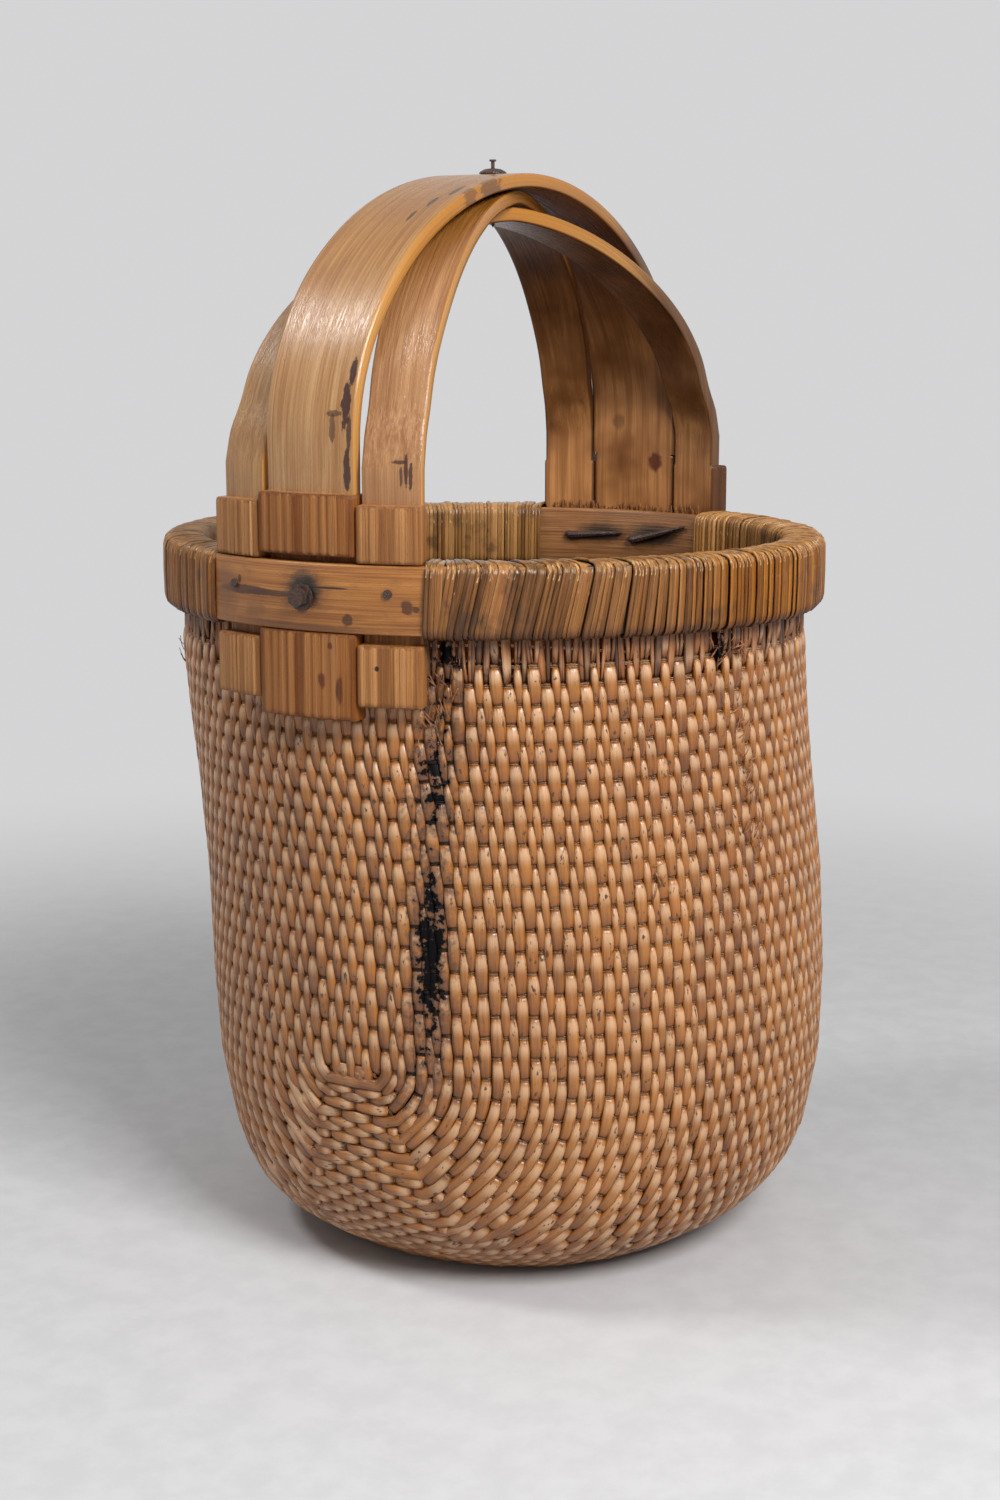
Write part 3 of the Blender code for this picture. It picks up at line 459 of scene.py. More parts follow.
def top_splinters(points, normals, end, from_top, width):
    """The split top of a rod, from its last weft up between the hoops: one to three ragged splinters."""
    lengths = run_lengths(points)
    made = []
    count = int(rng.choice((1, 2, 2, 3))) if width > THICK_ROD_WIDTH else int(rng.choice((1, 1, 2)))
    stop = SPLINTER_STOP if from_top else lengths[-1] - SPLINTER_STOP
    cuts = np.linspace(0, 1, count + 1)[1:-1] + rng.normal(0, 0.07, count - 1)
    bounds = np.concatenate([[0.0], np.sort(np.clip(cuts, 0.15, 0.85)), [1.0]])
    for low, high in zip(bounds[:-1], bounds[1:]):
        share = SPLINTER_SHARES
        places = end + (stop - end) * share
        centre = read_at(places, lengths, points)
        normal = unit(read_at(places, lengths, normals))
        side = unit(np.cross(normal, np.gradient(centre, axis=0)))
        spread = 0.84 + 0.32 * share
        lateral = ((low + high) / 2 - 0.5) * width * spread + rng.normal(0, 0.0016) * share
        rise = np.interp(share, (0.0, 0.10, 0.28, 1.0), (-0.0012, 0.0002, 0.0011, 0.0008))
        level = rise + rng.normal(0, 0.0007) * share ** 0.5
        twist = rng.normal(0, 0.42)
        swell = np.interp(share, (0, 0.3, 1), (0.80, 0.98, 1.10))
        made.append(strand(
            centre + normal * (level - WALL_THICKNESS / 2)[:, None] + side * lateral[:, None],
            normal * math.cos(twist) + side * math.sin(twist),
            width * (high - low) / 2 * swell * rng.uniform(0.84, 1.18), SPLINTER_HALF_DEPTH, places, level,
            rng.random(), rng.random(), share))
    return made


def feed(tree, target, value):
    """Links a socket to an input, or sets the input to a plain value."""
    if isinstance(value, bpy.types.NodeSocket):
        tree.links.new(value, target)
    elif target.type == "RGBA":
        target.default_value = (*value, 1.0)
    else:
        target.default_value = value


def new_node(tree, kind, *values, **settings):
    """A new node with its settings made and its first inputs fed."""
    made = tree.nodes.new("ShaderNode" + kind)
    for label, value in settings.items():
        setattr(made, label, value)
    for target, value in zip(made.inputs, values):
        feed(tree, target, value)
    return made


def reckon(tree, operation, *values):
    return new_node(tree, "Math", *values, operation=operation).outputs[0]


def times(tree, *values):
    return reckon(tree, "MULTIPLY", *values)


def times_add(tree, value, by, plus):
    return reckon(tree, "MULTIPLY_ADD", value, by, plus)


def mix(tree, share, first, second, way="MIX"):
    made = new_node(tree, "Mix", share, data_type="RGBA", blend_type=way)
    feed(tree, made.inputs[6], first)
    feed(tree, made.inputs[7], second)
    return made.outputs[2]


def layered(tree, colour, *layers):
    """Lays tints over a colour in turn: each is a share, a tint and, where it only darkens, DARKEN."""
    for share, tint, *way in layers:
        colour = mix(tree, share, colour, tint, *way)
    return colour


def between(tree, value, low, high, to_low=0.0, to_high=1.0):
    return new_node(tree, "MapRange", value, low, high, to_low, to_high, interpolation_type="SMOOTHSTEP").outputs[0]


def mottle(tree, vector, scale, detail=2.0, roughness=0.5, twist=0.0, along=1.0):
    """Noise, drawn out along the grain where along is under 1."""
    if along != 1.0:
        vector = new_node(tree, "VectorMath", vector, (1, along, 1), operation="MULTIPLY").outputs[0]
    made = new_node(tree, "TexNoise", vector)
    for label, value in (("Scale", scale), ("Detail", detail), ("Roughness", roughness), ("Distortion", twist)):
        feed(tree, made.inputs[label], value)
    return made.outputs["Fac"]


def read(tree, label, output="Vector"):
    return new_node(tree, "Attribute", attribute_name=label).outputs[output]


def object_place(tree):
    return new_node(tree, "TexCoord").outputs["Object"]


def parts(tree, vector):
    return new_node(tree, "SeparateXYZ", vector).outputs


def new_group(name, inputs, outputs):
    """A node group, with the sockets it is given and those it puts out."""
    group = bpy.data.node_groups.new(name, "ShaderNodeTree")
    for way, sockets in (("INPUT", inputs), ("OUTPUT", outputs)):
        for label, kind in sockets:
            group.interface.new_socket(label, in_out=way, socket_type="NodeSocket" + kind)
    return group, group.nodes.new("NodeGroupInput").outputs, group.nodes.new("NodeGroupOutput").inputs


def use(tree, group, **values):
    made = new_node(tree, "Group", node_tree=group)
    for label, value in values.items():
        feed(tree, made.inputs[label], value)
    return made.outputs


def begin(name):
    material = bpy.data.materials.new(name)
    material.use_nodes = True
    return material, material.node_tree


def finished(material, colour, roughness, height, bump_depth, **others):
    """Joins a material's colour, roughness and bump, and any other value by its input's name."""
    tree = material.node_tree
    shader = tree.nodes["Principled BSDF"]
    bump = new_node(tree, "Bump")
    bump.inputs["Strength"].default_value = 1.0
    bump.inputs["Distance"].default_value = bump_depth
    feed(tree, bump.inputs["Height"], height)
    for label, value in {"Base Color": colour, "Roughness": roughness, "Normal": bump.outputs[0], **others}.items():
        feed(tree, shader.inputs[label.replace("_", " ")], value)
    return material


DARKEN = "MULTIPLY"

# Fibres along a rod or a strip: lie is across, along and out, and tone tells one stem from the next
stem_fibres, given, put = new_group("stem_fibres", (("Lie", "Vector"), ("Tone", "Float")),
                                    (("Streak", "Float"), ("Fine", "Float"), ("Speck", "Float")))
tree = stem_fibres
across, along, _ = parts(tree, given["Lie"])
stem = new_node(tree, "CombineXYZ", across, along, times(tree, given["Tone"], 3.0)).outputs[0]
streaks = mottle(tree, stem, 620.0, 3.0, 0.6, along=0.05)
specks = between(tree, mottle(tree, stem, 620.0, 2.0, 0.6, along=0.34), 0.60, 0.635)
specked = between(tree, mottle(tree, stem, 110.0, 2.0), 0.52, 0.57)
feed(tree, put["Streak"], between(tree, streaks, 0.34, 0.64))
feed(tree, put["Fine"], mottle(tree, stem, 2600.0, 1.0, along=0.03))
feed(tree, put["Speck"], times(tree, specks, specked))

# Painted shade, brown in the hollows between stems, and tar where it has run
hollow_shade_and_tar, given, put = new_group(
    "hollow_shade_and_tar", (("Colour", "Color"), ("Hollow", "Float"), ("Tar", "Float"), ("Place", "Vector")),
    (("Colour", "Color"), ("Black", "Float")))
tree = hollow_shade_and_tar
patch = mottle(tree, given["Place"], 190.0, 4.0, 0.65)
worn = times_add(tree, patch, 1.6, reckon(tree, "SUBTRACT", given["Tar"], 0.86))
seeped = times(tree, given["Hollow"], between(tree, given["Tar"], 0.12, 0.50))
worn = times_add(tree, seeped, 0.38, worn)
black = between(tree, worn, 0.46, 0.55)
halo = times(tree, between(tree, worn, 0.06, 0.48), 0.80)
feed(tree, put["Colour"], layered(
    tree, given["Colour"],
    # Painted shade in the hollows
    (given["Hollow"], (0.155, 0.085, 0.045), DARKEN),
    (halo, (0.080, 0.028, 0.010)),
    (black, (0.004, 0.0035, 0.004))))
feed(tree, put["Black"], black)


def willow_finish(name, deep, warm, pale, hollow_shade_from, hollow_shade_to, roughness):
    """Peeled willow: each rod and each float has its own tone, paler in worn patches on its crest, with a painted
    highlight on the upper part of each float and painted shade on its lower part and in the hollows.
    """
    material, tree = begin(name)
    lie, where = read(tree, "lie"), object_place(tree)
    rod_tone, float_tone, place = parts(tree, read(tree, "marks"))
    level = parts(tree, lie)[2]
    fibres = use(tree, stem_fibres, Lie=lie, Tone=rod_tone)
    share = times_add(tree, rod_tone, 0.38, times(tree, float_tone, 0.52))
    share = times_add(tree, fibres["Streak"], 0.46, reckon(tree, "SUBTRACT", share, 0.12))
    cloud = between(tree, mottle(tree, where, 11.0, 3.0, 0.6), 0.34, 0.70, 0.04, 0.52)
    # Painted highlight: the upper part of each float is painted paler, where it turns up towards the light from above
    painted_sheen = times(tree, between(tree, place, 0.05, 0.17), between(tree, place, 0.20, 0.54, 0.54, 0.0))
    colour = layered(
        tree, mix(tree, share, deep, warm),
        (times(tree, between(tree, level, 0.0016, 0.0036), cloud), pale),
        (times(tree, painted_sheen, between(tree, level, 0.0012, 0.0030)), (0.80, 0.54, 0.33)),
        # Painted shade: the lower part of each float is darkened
        (between(tree, place, 0.46, 0.95, 0.0, 0.75), (0.72, 0.60, 0.46), DARKEN),
        (times(tree, fibres["Fine"], 0.55), (0.62, 0.52, 0.44), DARKEN),
        (times(tree, fibres["Speck"], 0.94), (0.045, 0.016, 0.007)))
    # Painted shade at the two ends of each float, by the weft over it, and in the hollows between the rods
    end = between(tree, reckon(tree, "ABSOLUTE", reckon(tree, "SUBTRACT", place, 0.5)), 0.452, 0.475)
    outside = between(tree, level, -0.0028, -0.0016)
    hollow_shade = times(tree, between(tree, level, hollow_shade_from, hollow_shade_to, 1.0, 0.0), outside)
    hollow_shade = reckon(tree, "MAXIMUM", hollow_shade, times(tree, end, 0.45))
    shade_and_tar = use(tree, hollow_shade_and_tar, Colour=colour, Hollow=hollow_shade, Tar=read(tree, "tar", "Fac"), Place=where)
    rough = times_add(tree, fibres["Streak"], 0.12, roughness)
    rough = times_add(tree, hollow_shade, 0.25, times_add(tree, shade_and_tar["Black"], 0.05, rough))
    gloss = times_add(tree, shade_and_tar["Black"], -0.68, times_add(tree, hollow_shade, -0.70, 0.75))
    relief = times_add(tree, fibres["Fine"], 0.35, fibres["Streak"])
    return finished(material, shade_and_tar["Colour"], rough, relief, 0.00016, Specular_IOR_Level=gloss)


willow = willow_finish("willow_rods", (0.14, 0.040, 0.004), (0.405, 0.142, 0.016), (0.49, 0.210, 0.045),
                       -0.0005, 0.0014, 0.27)
split_willow = willow_finish("split_willow", (0.035, 0.011, 0.003), (0.34, 0.118, 0.024),
                             (0.46, 0.205, 0.060), -0.0008, 0.0015, 0.46)

rods = []
splinters = []
cords = {}


def weave_rod(points, normals, side_y, heights, mitres, width, thick, number, has_two_tops):
    """Weaves one rod, splits its tops, and notes where each weft crosses it."""
    lengths = run_lengths(points)
    found = crossings(side_y, heights, lengths, mitres)
    signs = [1 if (number + (kind != "mitre") * index) % 2 else -1 for _, kind, index, _ in found]
    if not has_two_tops:
        found.append((lengths[-1] - 0.0020, "end", 0, False))
        signs.append(-1)
    rod, top_ends = lay_rod(points, normals, found, signs, width * 0.99, thick)
    rods.append(rod)
    splinters.extend(top_splinters(points, normals, top_ends[0], True, width))
    if has_two_tops:
        splinters.extend(top_splinters(points, normals, top_ends[1], False, width))
    for (length, kind, index, behind), sign in zip(found, signs):
        if kind == "end":
            continue
        at, out = read_at(length, lengths, points), read_at(length, lengths, normals)
        way = read_at(length + 0.001, lengths, points) - at
        if kind == "mitre":
            key, order = (kind, index, at[0] > 0), at[2]
        elif kind == "ring":
            key = (kind, index, bool(behind) and ring_heights[index] < V_HEIGHT)
            order = math.atan2(at[1] - out[1] * 0.01, at[0] - out[0] * 0.01) * (-1 if key[2] else 1)
        else:
            key, order = (kind, index, False), at[0]
        cords.setdefault(key, []).append((order, at, out, way, sign))


for number, (place, width) in enumerate(zip(rod_places, rod_widths)):
    weave_rod(*rod_path(place), width, rod_is_thick[number], number, True)

# Short rods that end at the V, between the first legs of the two sides
V_RODS = 5
for end, start_number in ((0.0, rod_count), (math.pi, 2 * rod_count + 3)):
    for step in range(V_RODS):
        lateral = (step - 2) * 2 * V_HALF_WIDTH / V_RODS * (1 if end == 0 else -1)
        heights = np.arange(ROD_TOP, V_HEIGHT - 0.013, -PATH_STEP)
        angles = end + lateral / np.interp(heights, profile_heights, profile_radii)
        weave_rod(body_point(angles, heights), body_normal(angles, heights), 0 * heights, heights, [],
                  2.3 * V_HALF_WIDTH / V_RODS, True, start_number + step, False)

# Worn spots where the wefts have torn and stand out as pale fibres: angle, height, count and spread
for angle, height, count, spread in (
    (-2.770, 0.316, 26, 0.0050), (-2.750, 0.338, 16, 0.0040), (-1.776, 0.2775, 18, 0.0045),
    (-1.790, 0.3050, 16, 0.0040), (-1.766, 0.2500, 18, 0.0045), (-1.800, 0.3480, 14, 0.0030),
    (-2.150, 0.2350, 7, 0.0025), (-1.880, 0.3500, 12, 0.0035), (0.700, 0.3000, 10, 0.0040),
    (2.300, 0.3350, 5, 0.0030), (1.350, 0.2700, 8, 0.0035), (-0.500, 0.3450, 12, 0.0040),
):
    for fibre in range(count):
        share = np.linspace(0.0, 1.0, 5)
        turned, length = rng.normal(math.pi / 2, 0.55), rng.uniform(0.0035, 0.0095)
        angles = angle + (rng.normal(0, spread) + length * math.cos(turned) * (share - 0.5)) / BODY_RADIUS
        heights = height + rng.normal(0, spread * 1.6) + length * math.sin(turned) * (share - 0.5)
        normals = body_normal(angles, heights)
        lift = 0.0008 + rng.uniform(0.0002, 0.0030) * share ** 2 + 0.0008 * np.sin(share * math.pi)
        splinters.append(strand(
            body_point(angles, heights) + normals * lift[:, None], normals,
            rng.uniform(0.00022, 0.00060) * (1 - 0.45 * share), FIBRE_HALF_DEPTH, length * share, 0.0030,
            0.9, rng.uniform(0.3, 1.0), 0.5))

group_names = ("near", "near_middle", "middle_near", "middle_far", "far_middle", "far")
groups = {end: [] for end in group_names}
for number, rod in enumerate(rods[:rod_count]):
    groups[group_names[len(groups) * number // rod_count]].append(rod)
groups["far"] += rods[rod_count:rod_count + V_RODS]
groups["near"] += rods[rod_count + V_RODS:]
for end, members in groups.items():
    piece = build_rods("willow_rods_" + end, members, willow)
    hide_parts("woven_body")
build_rods("split_rod_tops", splinters, split_willow, sides=6)

# Hemp wefts
# Two thin strands of hemp cord run together round the body, in front of one rod and behind the next.
CORD_RADIUS = 0.00032
STRAND_APART = 0.00092


def strand_points(crossing_list, closed, shift):
    """A strand's line: over or under each rod, with two points between that follow the rod's side."""
    crossing_list = sorted(crossing_list, key=lambda item: item[0])
    count = len(crossing_list)
    points = []
    at, out, way = (np.array([item[k] for item in crossing_list]) for k in (1, 2, 3))
    way /= np.maximum(np.linalg.norm(way, axis=1, keepdims=True), 1e-9)
    way *= np.where(way[:, 2:] > 0, -1, 1) if closed else np.where((way * way[0]).sum(1) < 0, -1, 1)[:, None]
    for k in range(count):
        level = -WALL_THICKNESS / 2 - crossing_list[k][4] * (FLOAT_SEAT + CORD_RADIUS * 0.9)
        centre = at[k] + out[k] * level + way[k] * shift
        for neighbour in (k - 1, k + 1):
            if not closed and not 0 <= neighbour < count:
                points.append(centre)
                continue
            neighbour %= count
            beside = at[neighbour] + out[neighbour] * level + way[neighbour] * shift
            points.append(centre + (beside - centre) * 0.30)
    return np.array(points)


material, tree = begin("hemp_cord")
where = object_place(tree)
twist = mottle(tree, where, 1500.0, 2.0)
colour = layered(
    tree, mix(tree, between(tree, twist, 0.35, 0.65), (0.150, 0.080, 0.038), (0.40, 0.245, 0.135)),
    (between(tree, mottle(tree, where, 60.0), 0.4, 0.7), (0.62, 0.50, 0.40), DARKEN),
    (between(tree, read(tree, "tar", "Fac"), 0.10, 0.35), (0.012, 0.008, 0.006)))
hemp = finished(material, colour, 0.85, twist, 0.00020)
for part in ("upper", "lower"):
    curve = new_curve("wefts_" + part, CORD_RADIUS)
    curve.bevel_resolution = 0
    for (kind, index, _), crossing_list in cords.items():
        upper = kind == "ring" and ring_heights[index] > 0.200
        if upper != (part == "upper") or len(crossing_list) < 3:
            continue
        closed = bool(kind == "ring" and ring_heights[index] > V_HEIGHT)
        for shift in (-STRAND_APART / 2, STRAND_APART / 2):
            add_line(curve, strand_points(crossing_list, closed, shift), closed)
    mesh, points = swept("hemp_wefts_" + part, curve, hemp)
    note(mesh, "tar", tar_on(points))
    made = link("hemp_wefts_" + part, mesh)
    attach(made, "root")

# Rim hoops
# Two bent bands of wood clamp the tops of the rods between them. The outer one is bare across each
# leg of the handle, where it lies in the notches of the slats.
OUTER_HOOP_THICKNESS, INNER_HOOP_THICKNESS = 0.0075, 0.0065
HOOP_EDGE = 0.0011
HOOP_MIDDLE = (HOOP_LOW + HOOP_TOP) / 2


def bent_band(name, depth_at_run, depth_at_leg, thickness, material):
    half_x, half_y = thickness / 2, (HOOP_TOP - HOOP_LOW) / 2
    corners = []
    for x_sign, y_sign, first in ((1, 1, 0), (-1, 1, 90), (-1, -1, 180), (1, -1, 270)):
        for turn in (first, first + 45, first + 90):
            corners.append((
                x_sign * (half_x - HOOP_EDGE) + HOOP_EDGE * math.cos(math.radians(turn)),
                y_sign * (half_y - HOOP_EDGE) + HOOP_EDGE * math.sin(math.radians(turn)),
                0.0))
    section_curve = bpy.data.curves.new(name + "_section", "CURVE")
    section_curve.dimensions = "2D"
    add_line(section_curve, corners, True)
    section = link(name + "_section", section_curve)
    curve = new_curve(name, 0.0)
    curve.twist_mode = "Z_UP"
    curve.bevel_mode = "OBJECT"
    curve.bevel_object = section
    angles = np.linspace(-math.pi, math.pi, 288, endpoint=False)
    depth = depth_at_run + (depth_at_leg - depth_at_run) * leg_share(angles)
    add_line(curve, polar(angles, rim_radius(angles) - depth - thickness / 2, HOOP_MIDDLE), True)
    mesh, points = swept(name, curve, material)
    bpy.data.objects.remove(section)
    mesh.set_sharp_from_angle(angle=math.radians(60))
    turn = np.remainder(np.arctan2(points[:, 1], points[:, 0]) + math.pi / 2, 2 * math.pi)
    note(mesh, "lie", np.stack([points[:, 2] - HOOP_MIDDLE, turn * RIM_HALF_SPAN, 0 * turn], -1))
    made = link(name, mesh)
    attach(made, "root")
    return made


# Grain of sawn or split wood: Place is across, along and through the piece
timber_grain, given, put = new_group("timber_grain", (("Place", "Vector"), ("Scale", "Float")),
                                     (("Bands", "Float"), ("Lines", "Float"), ("Flecks", "Float")))
tree = timber_grain
bands = mottle(tree, given["Place"], times(tree, given["Scale"], 0.30), 3.0, 0.55, 0.6, along=0.035)
lines = mottle(tree, given["Place"], given["Scale"], 3.0, 0.62, along=0.012)
flecks = mottle(tree, given["Place"], times(tree, given["Scale"], 2.6), 2.0, 0.6, along=0.22)
feed(tree, put["Bands"], between(tree, bands, 0.34, 0.66))
feed(tree, put["Lines"], between(tree, lines, 0.30, 0.70))
feed(tree, put["Flecks"], between(tree, flecks, 0.52, 0.72))

# One stain, scorch or knot: an ellipse with a ragged edge
stain_spot, given, put = new_group(
    "stain_spot", (("Place", "Vector"), ("Centre", "Vector"), ("Size", "Vector"), ("Ragged", "Float"),
                   ("Soft", "Float")), (("Mask", "Float"),))
tree = stain_spot
apart = new_node(tree, "VectorMath", given["Place"], given["Centre"], operation="SUBTRACT").outputs[0]
apart = new_node(tree, "VectorMath", apart, given["Size"], operation="DIVIDE").outputs[0]
length = new_node(tree, "VectorMath", apart, operation="LENGTH").outputs["Value"]
torn = reckon(tree, "SUBTRACT", mottle(tree, given["Place"], 420.0, 4.0, 0.65, along=0.45), 0.5)
reach = times_add(tree, torn, given["Ragged"], length)
feed(tree, put["Mask"], between(tree, reach, reckon(tree, "SUBTRACT", 0.90, given["Soft"]), 1.06, 1.0, 0.0))


def stained(tree, place, colour, middle, stains):
    """Lays groups of stains on a piece; across and along are from the middle of the band or the foot."""
    for depth, half_depth, tint, soft, spots in stains:
        for across, along, half_across, half_along, strength, ragged in spots:
            mask = use(tree, stain_spot, Place=place, Centre=(across, middle + along, depth),
                       Size=(half_across, half_along, half_depth), Ragged=ragged, Soft=soft)["Mask"]
            colour = mix(tree, times(tree, mask, strength), colour, tint)
    return colour


def hoop_finish(name, deep, bright, middle, stains):
    """Hoop wood: fine grain, with painted shade where it lies under the binding, rubbed and stained."""
    material, tree = begin(name)
    place = read(tree, "lie")
    grain = use(tree, timber_grain, Place=place, Scale=900.0)
    share = times_add(tree, grain["Lines"], 0.55, times(tree, grain["Bands"], 0.45))
    from_middle = reckon(tree, "ABSOLUTE", parts(tree, object_place(tree))[0])
    rub = mottle(tree, place, 75.0, 3.0, 0.6, along=0.5)
    colour = layered(
        tree, mix(tree, share, deep, bright),
        (times(tree, grain["Flecks"], 0.35), (0.16, 0.060, 0.022)),
        # Painted shade: away from the legs the wood lies under the binding and is darkened, so that the gaps between
        # the turns look shaded
        (between(tree, from_middle, 0.128, 0.143, 1.0, 0.0), (0.030, 0.013, 0.007)),
        (between(tree, rub, 0.55, 0.72, 0.0, 0.45), (0.13, 0.055, 0.026)))
    colour = stained(tree, place, colour, middle, stains)
    relief = times_add(tree, grain["Flecks"], -0.5, grain["Lines"])
    return finished(material, colour, times_add(tree, rub, 0.25, 0.28), relief, 0.00012)


# Stains on the near and the far leg: depth, half depth, tint, softness and then the spots, each with its
# place across and along the rim from the leg's middle, half its size, its strength and its raggedness
RED_BROWN, SOOT = (0.060, 0.018, 0.006), (0.010, 0.007, 0.005)
NEAR_MIDDLE, FAR_MIDDLE = RIM_HALF_SPAN * 1.5 * math.pi, RIM_HALF_SPAN * 0.5 * math.pi
outer_finish = hoop_finish("outer_hoop_wood", (0.22, 0.070, 0.012), (0.43, 0.180, 0.042), NEAR_MIDDLE, (
    (0.0, 9, RED_BROWN, 0.15, (
        (0.0008, -0.040, 0.0026, 0.022, 0.92, 0.7), (0.0004, -0.020, 0.0017, 0.020, 0.90, 0.6))),
    (0.0, 9, (0.060, 0.020, 0.010), 0.85, ((0.0035, 0.001, 0.0150, 0.0200, 0.80, 0.6),)),
    (0.0, 9, SOOT, 0.50, ((0.0030, 0.001, 0.0120, 0.0120, 0.98, 0.6),)),
    (0.0, 9, SOOT, 0.20, ((0.0052, 0.017, 0.0007, 0.011, 0.90, 0.3),)),
    (0.0, 9, RED_BROWN, 0.20, (
        (-0.0105, 0.026, 0.0032, 0.0034, 0.85, 1.3), (-0.0030, 0.0575, 0.0042, 0.0034, 0.85, 1.3),
        (-0.0040, 0.062, 0.0016, 0.0020, 0.85, 1.3))),
    (0.0, 9, SOOT, 0.30, ((0.0060, -0.044, 0.0024, 0.0016, 0.80, 0.8),)),
    (0.0, 9, (0.15, 0.055, 0.020), 0.60, ((0.0000, -0.056, 0.0180, 0.012, 0.60, 0.6),)),
    (0.0, 9, (0.13, 0.045, 0.016), 0.60, ((-0.0155, -0.002, 0.0032, 0.060, 0.70, 0.8),)),
))
inner_finish = hoop_finish("inner_hoop_wood", (0.16, 0.058, 0.018), (0.38, 0.170, 0.060), FAR_MIDDLE, (
    (0.0, 9, SOOT, 0.65, (
        (0.0030, 0.018, 0.0085, 0.026, 0.88, 0.5), (0.0030, -0.026, 0.0095, 0.030, 0.92, 0.5))),
))
outer_hoop = bent_band("outer_hoop", 0.0017, 0.0, OUTER_HOOP_THICKNESS, outer_finish)
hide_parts("outer_rim_hoop")
inner_hoop = bent_band("inner_hoop", 0.0158, 0.0204, INNER_HOOP_THICKNESS, inner_finish)
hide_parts("inner_rim_hoop")

# Binding of the rim
# Split rattan is wound round both hoops and through the weave just under them, turn beside turn, from
# one leg of the handle to the other on each side. Its turns lean where it starts.
STRIP_HALF_THICKNESS = 0.0009
STRIP_REACH = 0.0234
STRIP_MIDDLE, STRIP_HEIGHT = 0.379, 0.034
OUTER_SHIFT, INNER_SHIFT = -0.0017, 0.0046
WIDE_TURN = 0.0060
RIBBON_SWELL = 1.07
TURN_COUNT = 78
# Depth from the rim and height round one turn, from the weave's side over the outside, the top and down inside
strip_section = np.array((
    (0.0098, 0.3608), (0.0062, 0.3603), (0.0028, 0.3608), (0.0012, 0.3624), (0.0006, 0.3650),
    (0.0003, 0.3790), (0.0005, 0.3925), (0.0013, 0.3952), (0.0034, 0.3968), (0.0070, 0.3974),
    (0.0120, 0.3977), (0.0175, 0.3974), (0.0210, 0.3966), (0.0228, 0.3946), (0.0233, 0.3915),
    (0.0234, 0.3780), (0.0232, 0.3650), (0.0222, 0.3622), (0.0200, 0.3608), (0.0168, 0.3608),
))


def bind_run(name, start, end, count, lean_from, olive_at, material):
    """One side's binding, its turns of uneven width, each leaning and toned by its place."""
    ribbons = []
    turns_at = np.linspace(start, end, count)
    shares = rng.normal(1.0, 0.16, count) * (1 + 0.55 * (1 - ease(turns_at, -2.35, -2.0)) * (start < 0))
    shares = np.cumsum(shares) / shares.sum()
    depth, height = strip_section.T
    rise = (height - STRIP_MIDDLE) / STRIP_HEIGHT
    outside = np.clip((STRIP_REACH - depth) / STRIP_REACH, 0.0, 1.0)
    narrowing = np.interp(depth, (0.0, STRIP_REACH), (1.0, 0.88))
    for k in range(count):
        width_share = (shares[k] - (shares[k - 1] if k else 0.0))
        middle = start + (end - start) * (shares[k] - width_share / 2)
        width = abs(end - start) * width_share * RIM_HALF_SPAN
        lean = lean_from(middle) / RIM_HALF_SPAN
        angle = middle + lean * rise * (2 * outside - 1) + rng.normal(0, 0.0012)
        shift = np.where(depth < STRIP_REACH / 2, OUTER_SHIFT, INNER_SHIFT) * leg_share(angle)
        centre = polar(angle, rim_radius(angle) - depth - shift, height)
        along = np.gradient(centre, axis=0)
        sideways = polar(angle + math.pi / 2, 0 * angle + 1.0, 0 * angle)
        normal = unit(np.cross(sideways, along))
        if normal[5] @ centre[5] < 0:
            normal = -normal
        normal = unit(normal + sideways * (0.10 + rng.normal(0, 0.05)))
        lengths = run_lengths(centre)
        tone = rng.random()
        # A turn is one strip that use has split lengthwise into a few ribbons
        aside = np.cross(unit(along), normal)
        split = int(rng.choice((2, 3, 3))) if width > WIDE_TURN else int(rng.choice((1, 2, 2)))
        cuts = np.sort(np.linspace(0, 1, split + 1)[1:-1] + rng.normal(0, 0.06, split - 1))
        cuts = np.concatenate([[0.0], cuts, [1.0]])
        for low, high in zip(cuts[:-1], cuts[1:]):
            place = ((low + high) / 2 - 0.5) * width * narrowing
            ribbons.append(strand(
                centre + aside * place[:, None] + normal * rng.normal(0.0, 0.00030), normal,
                width * (high - low) / 2 * RIBBON_SWELL * narrowing, STRIP_HALF_THICKNESS, lengths, 0.0,
                rng.random(), tone, olive_at(middle)))
    piece = build_rods(name, ribbons, material)
    return piece


# Rattan: brown by the near leg and olive gold further on, pale where it is worn or peeled, with painted light on the
# inner side of each turn, a painted highlight along each ribbon's shoulders, and painted shade at the ribbons' sides
# and where the turns go into the weave
material, tree = begin("rattan_strip")
lie, where = read(tree, "lie"), object_place(tree)
_, along, level = parts(tree, lie)
height = parts(tree, where)[2]
ribbon_tone, turn_tone, olive = parts(tree, read(tree, "marks"))
fibres = use(tree, stem_fibres, Lie=lie, Tone=ribbon_tone)
brown = mix(tree, ribbon_tone, (0.055, 0.017, 0.002), (0.37, 0.146, 0.036))
golden = mix(tree, ribbon_tone, (0.155, 0.043, 0.0005), (0.36, 0.115, 0.002))
# Painted highlight: a pale gold line along the shoulders of each ribbon
edge = times(tree, between(tree, level, 0.0004, 0.0006), between(tree, level, 0.0006, 0.00085, 1.0, 0.0))
edge = times(tree, edge, between(tree, ribbon_tone, 0.3, 0.9, 0.0, 0.50))
# Painted light: the inner side of each turn, facing into the basket, is painted paler
inside = times(tree, between(tree, along, 0.050, 0.058, 0.0, 0.42), times_add(tree, ribbon_tone, 1.5, 0.25))
peeled = mottle(tree, lie, 300.0, 3.0, 0.6, along=0.25)
wear = between(tree, mottle(tree, where, 260.0, 3.0, 0.6), 0.42, 0.60, 0.15, 0.85)
top = times(tree, between(tree, height, 0.3925, 0.3965), wear)
soot = mottle(tree, where, 34.0, 4.0, 0.65)
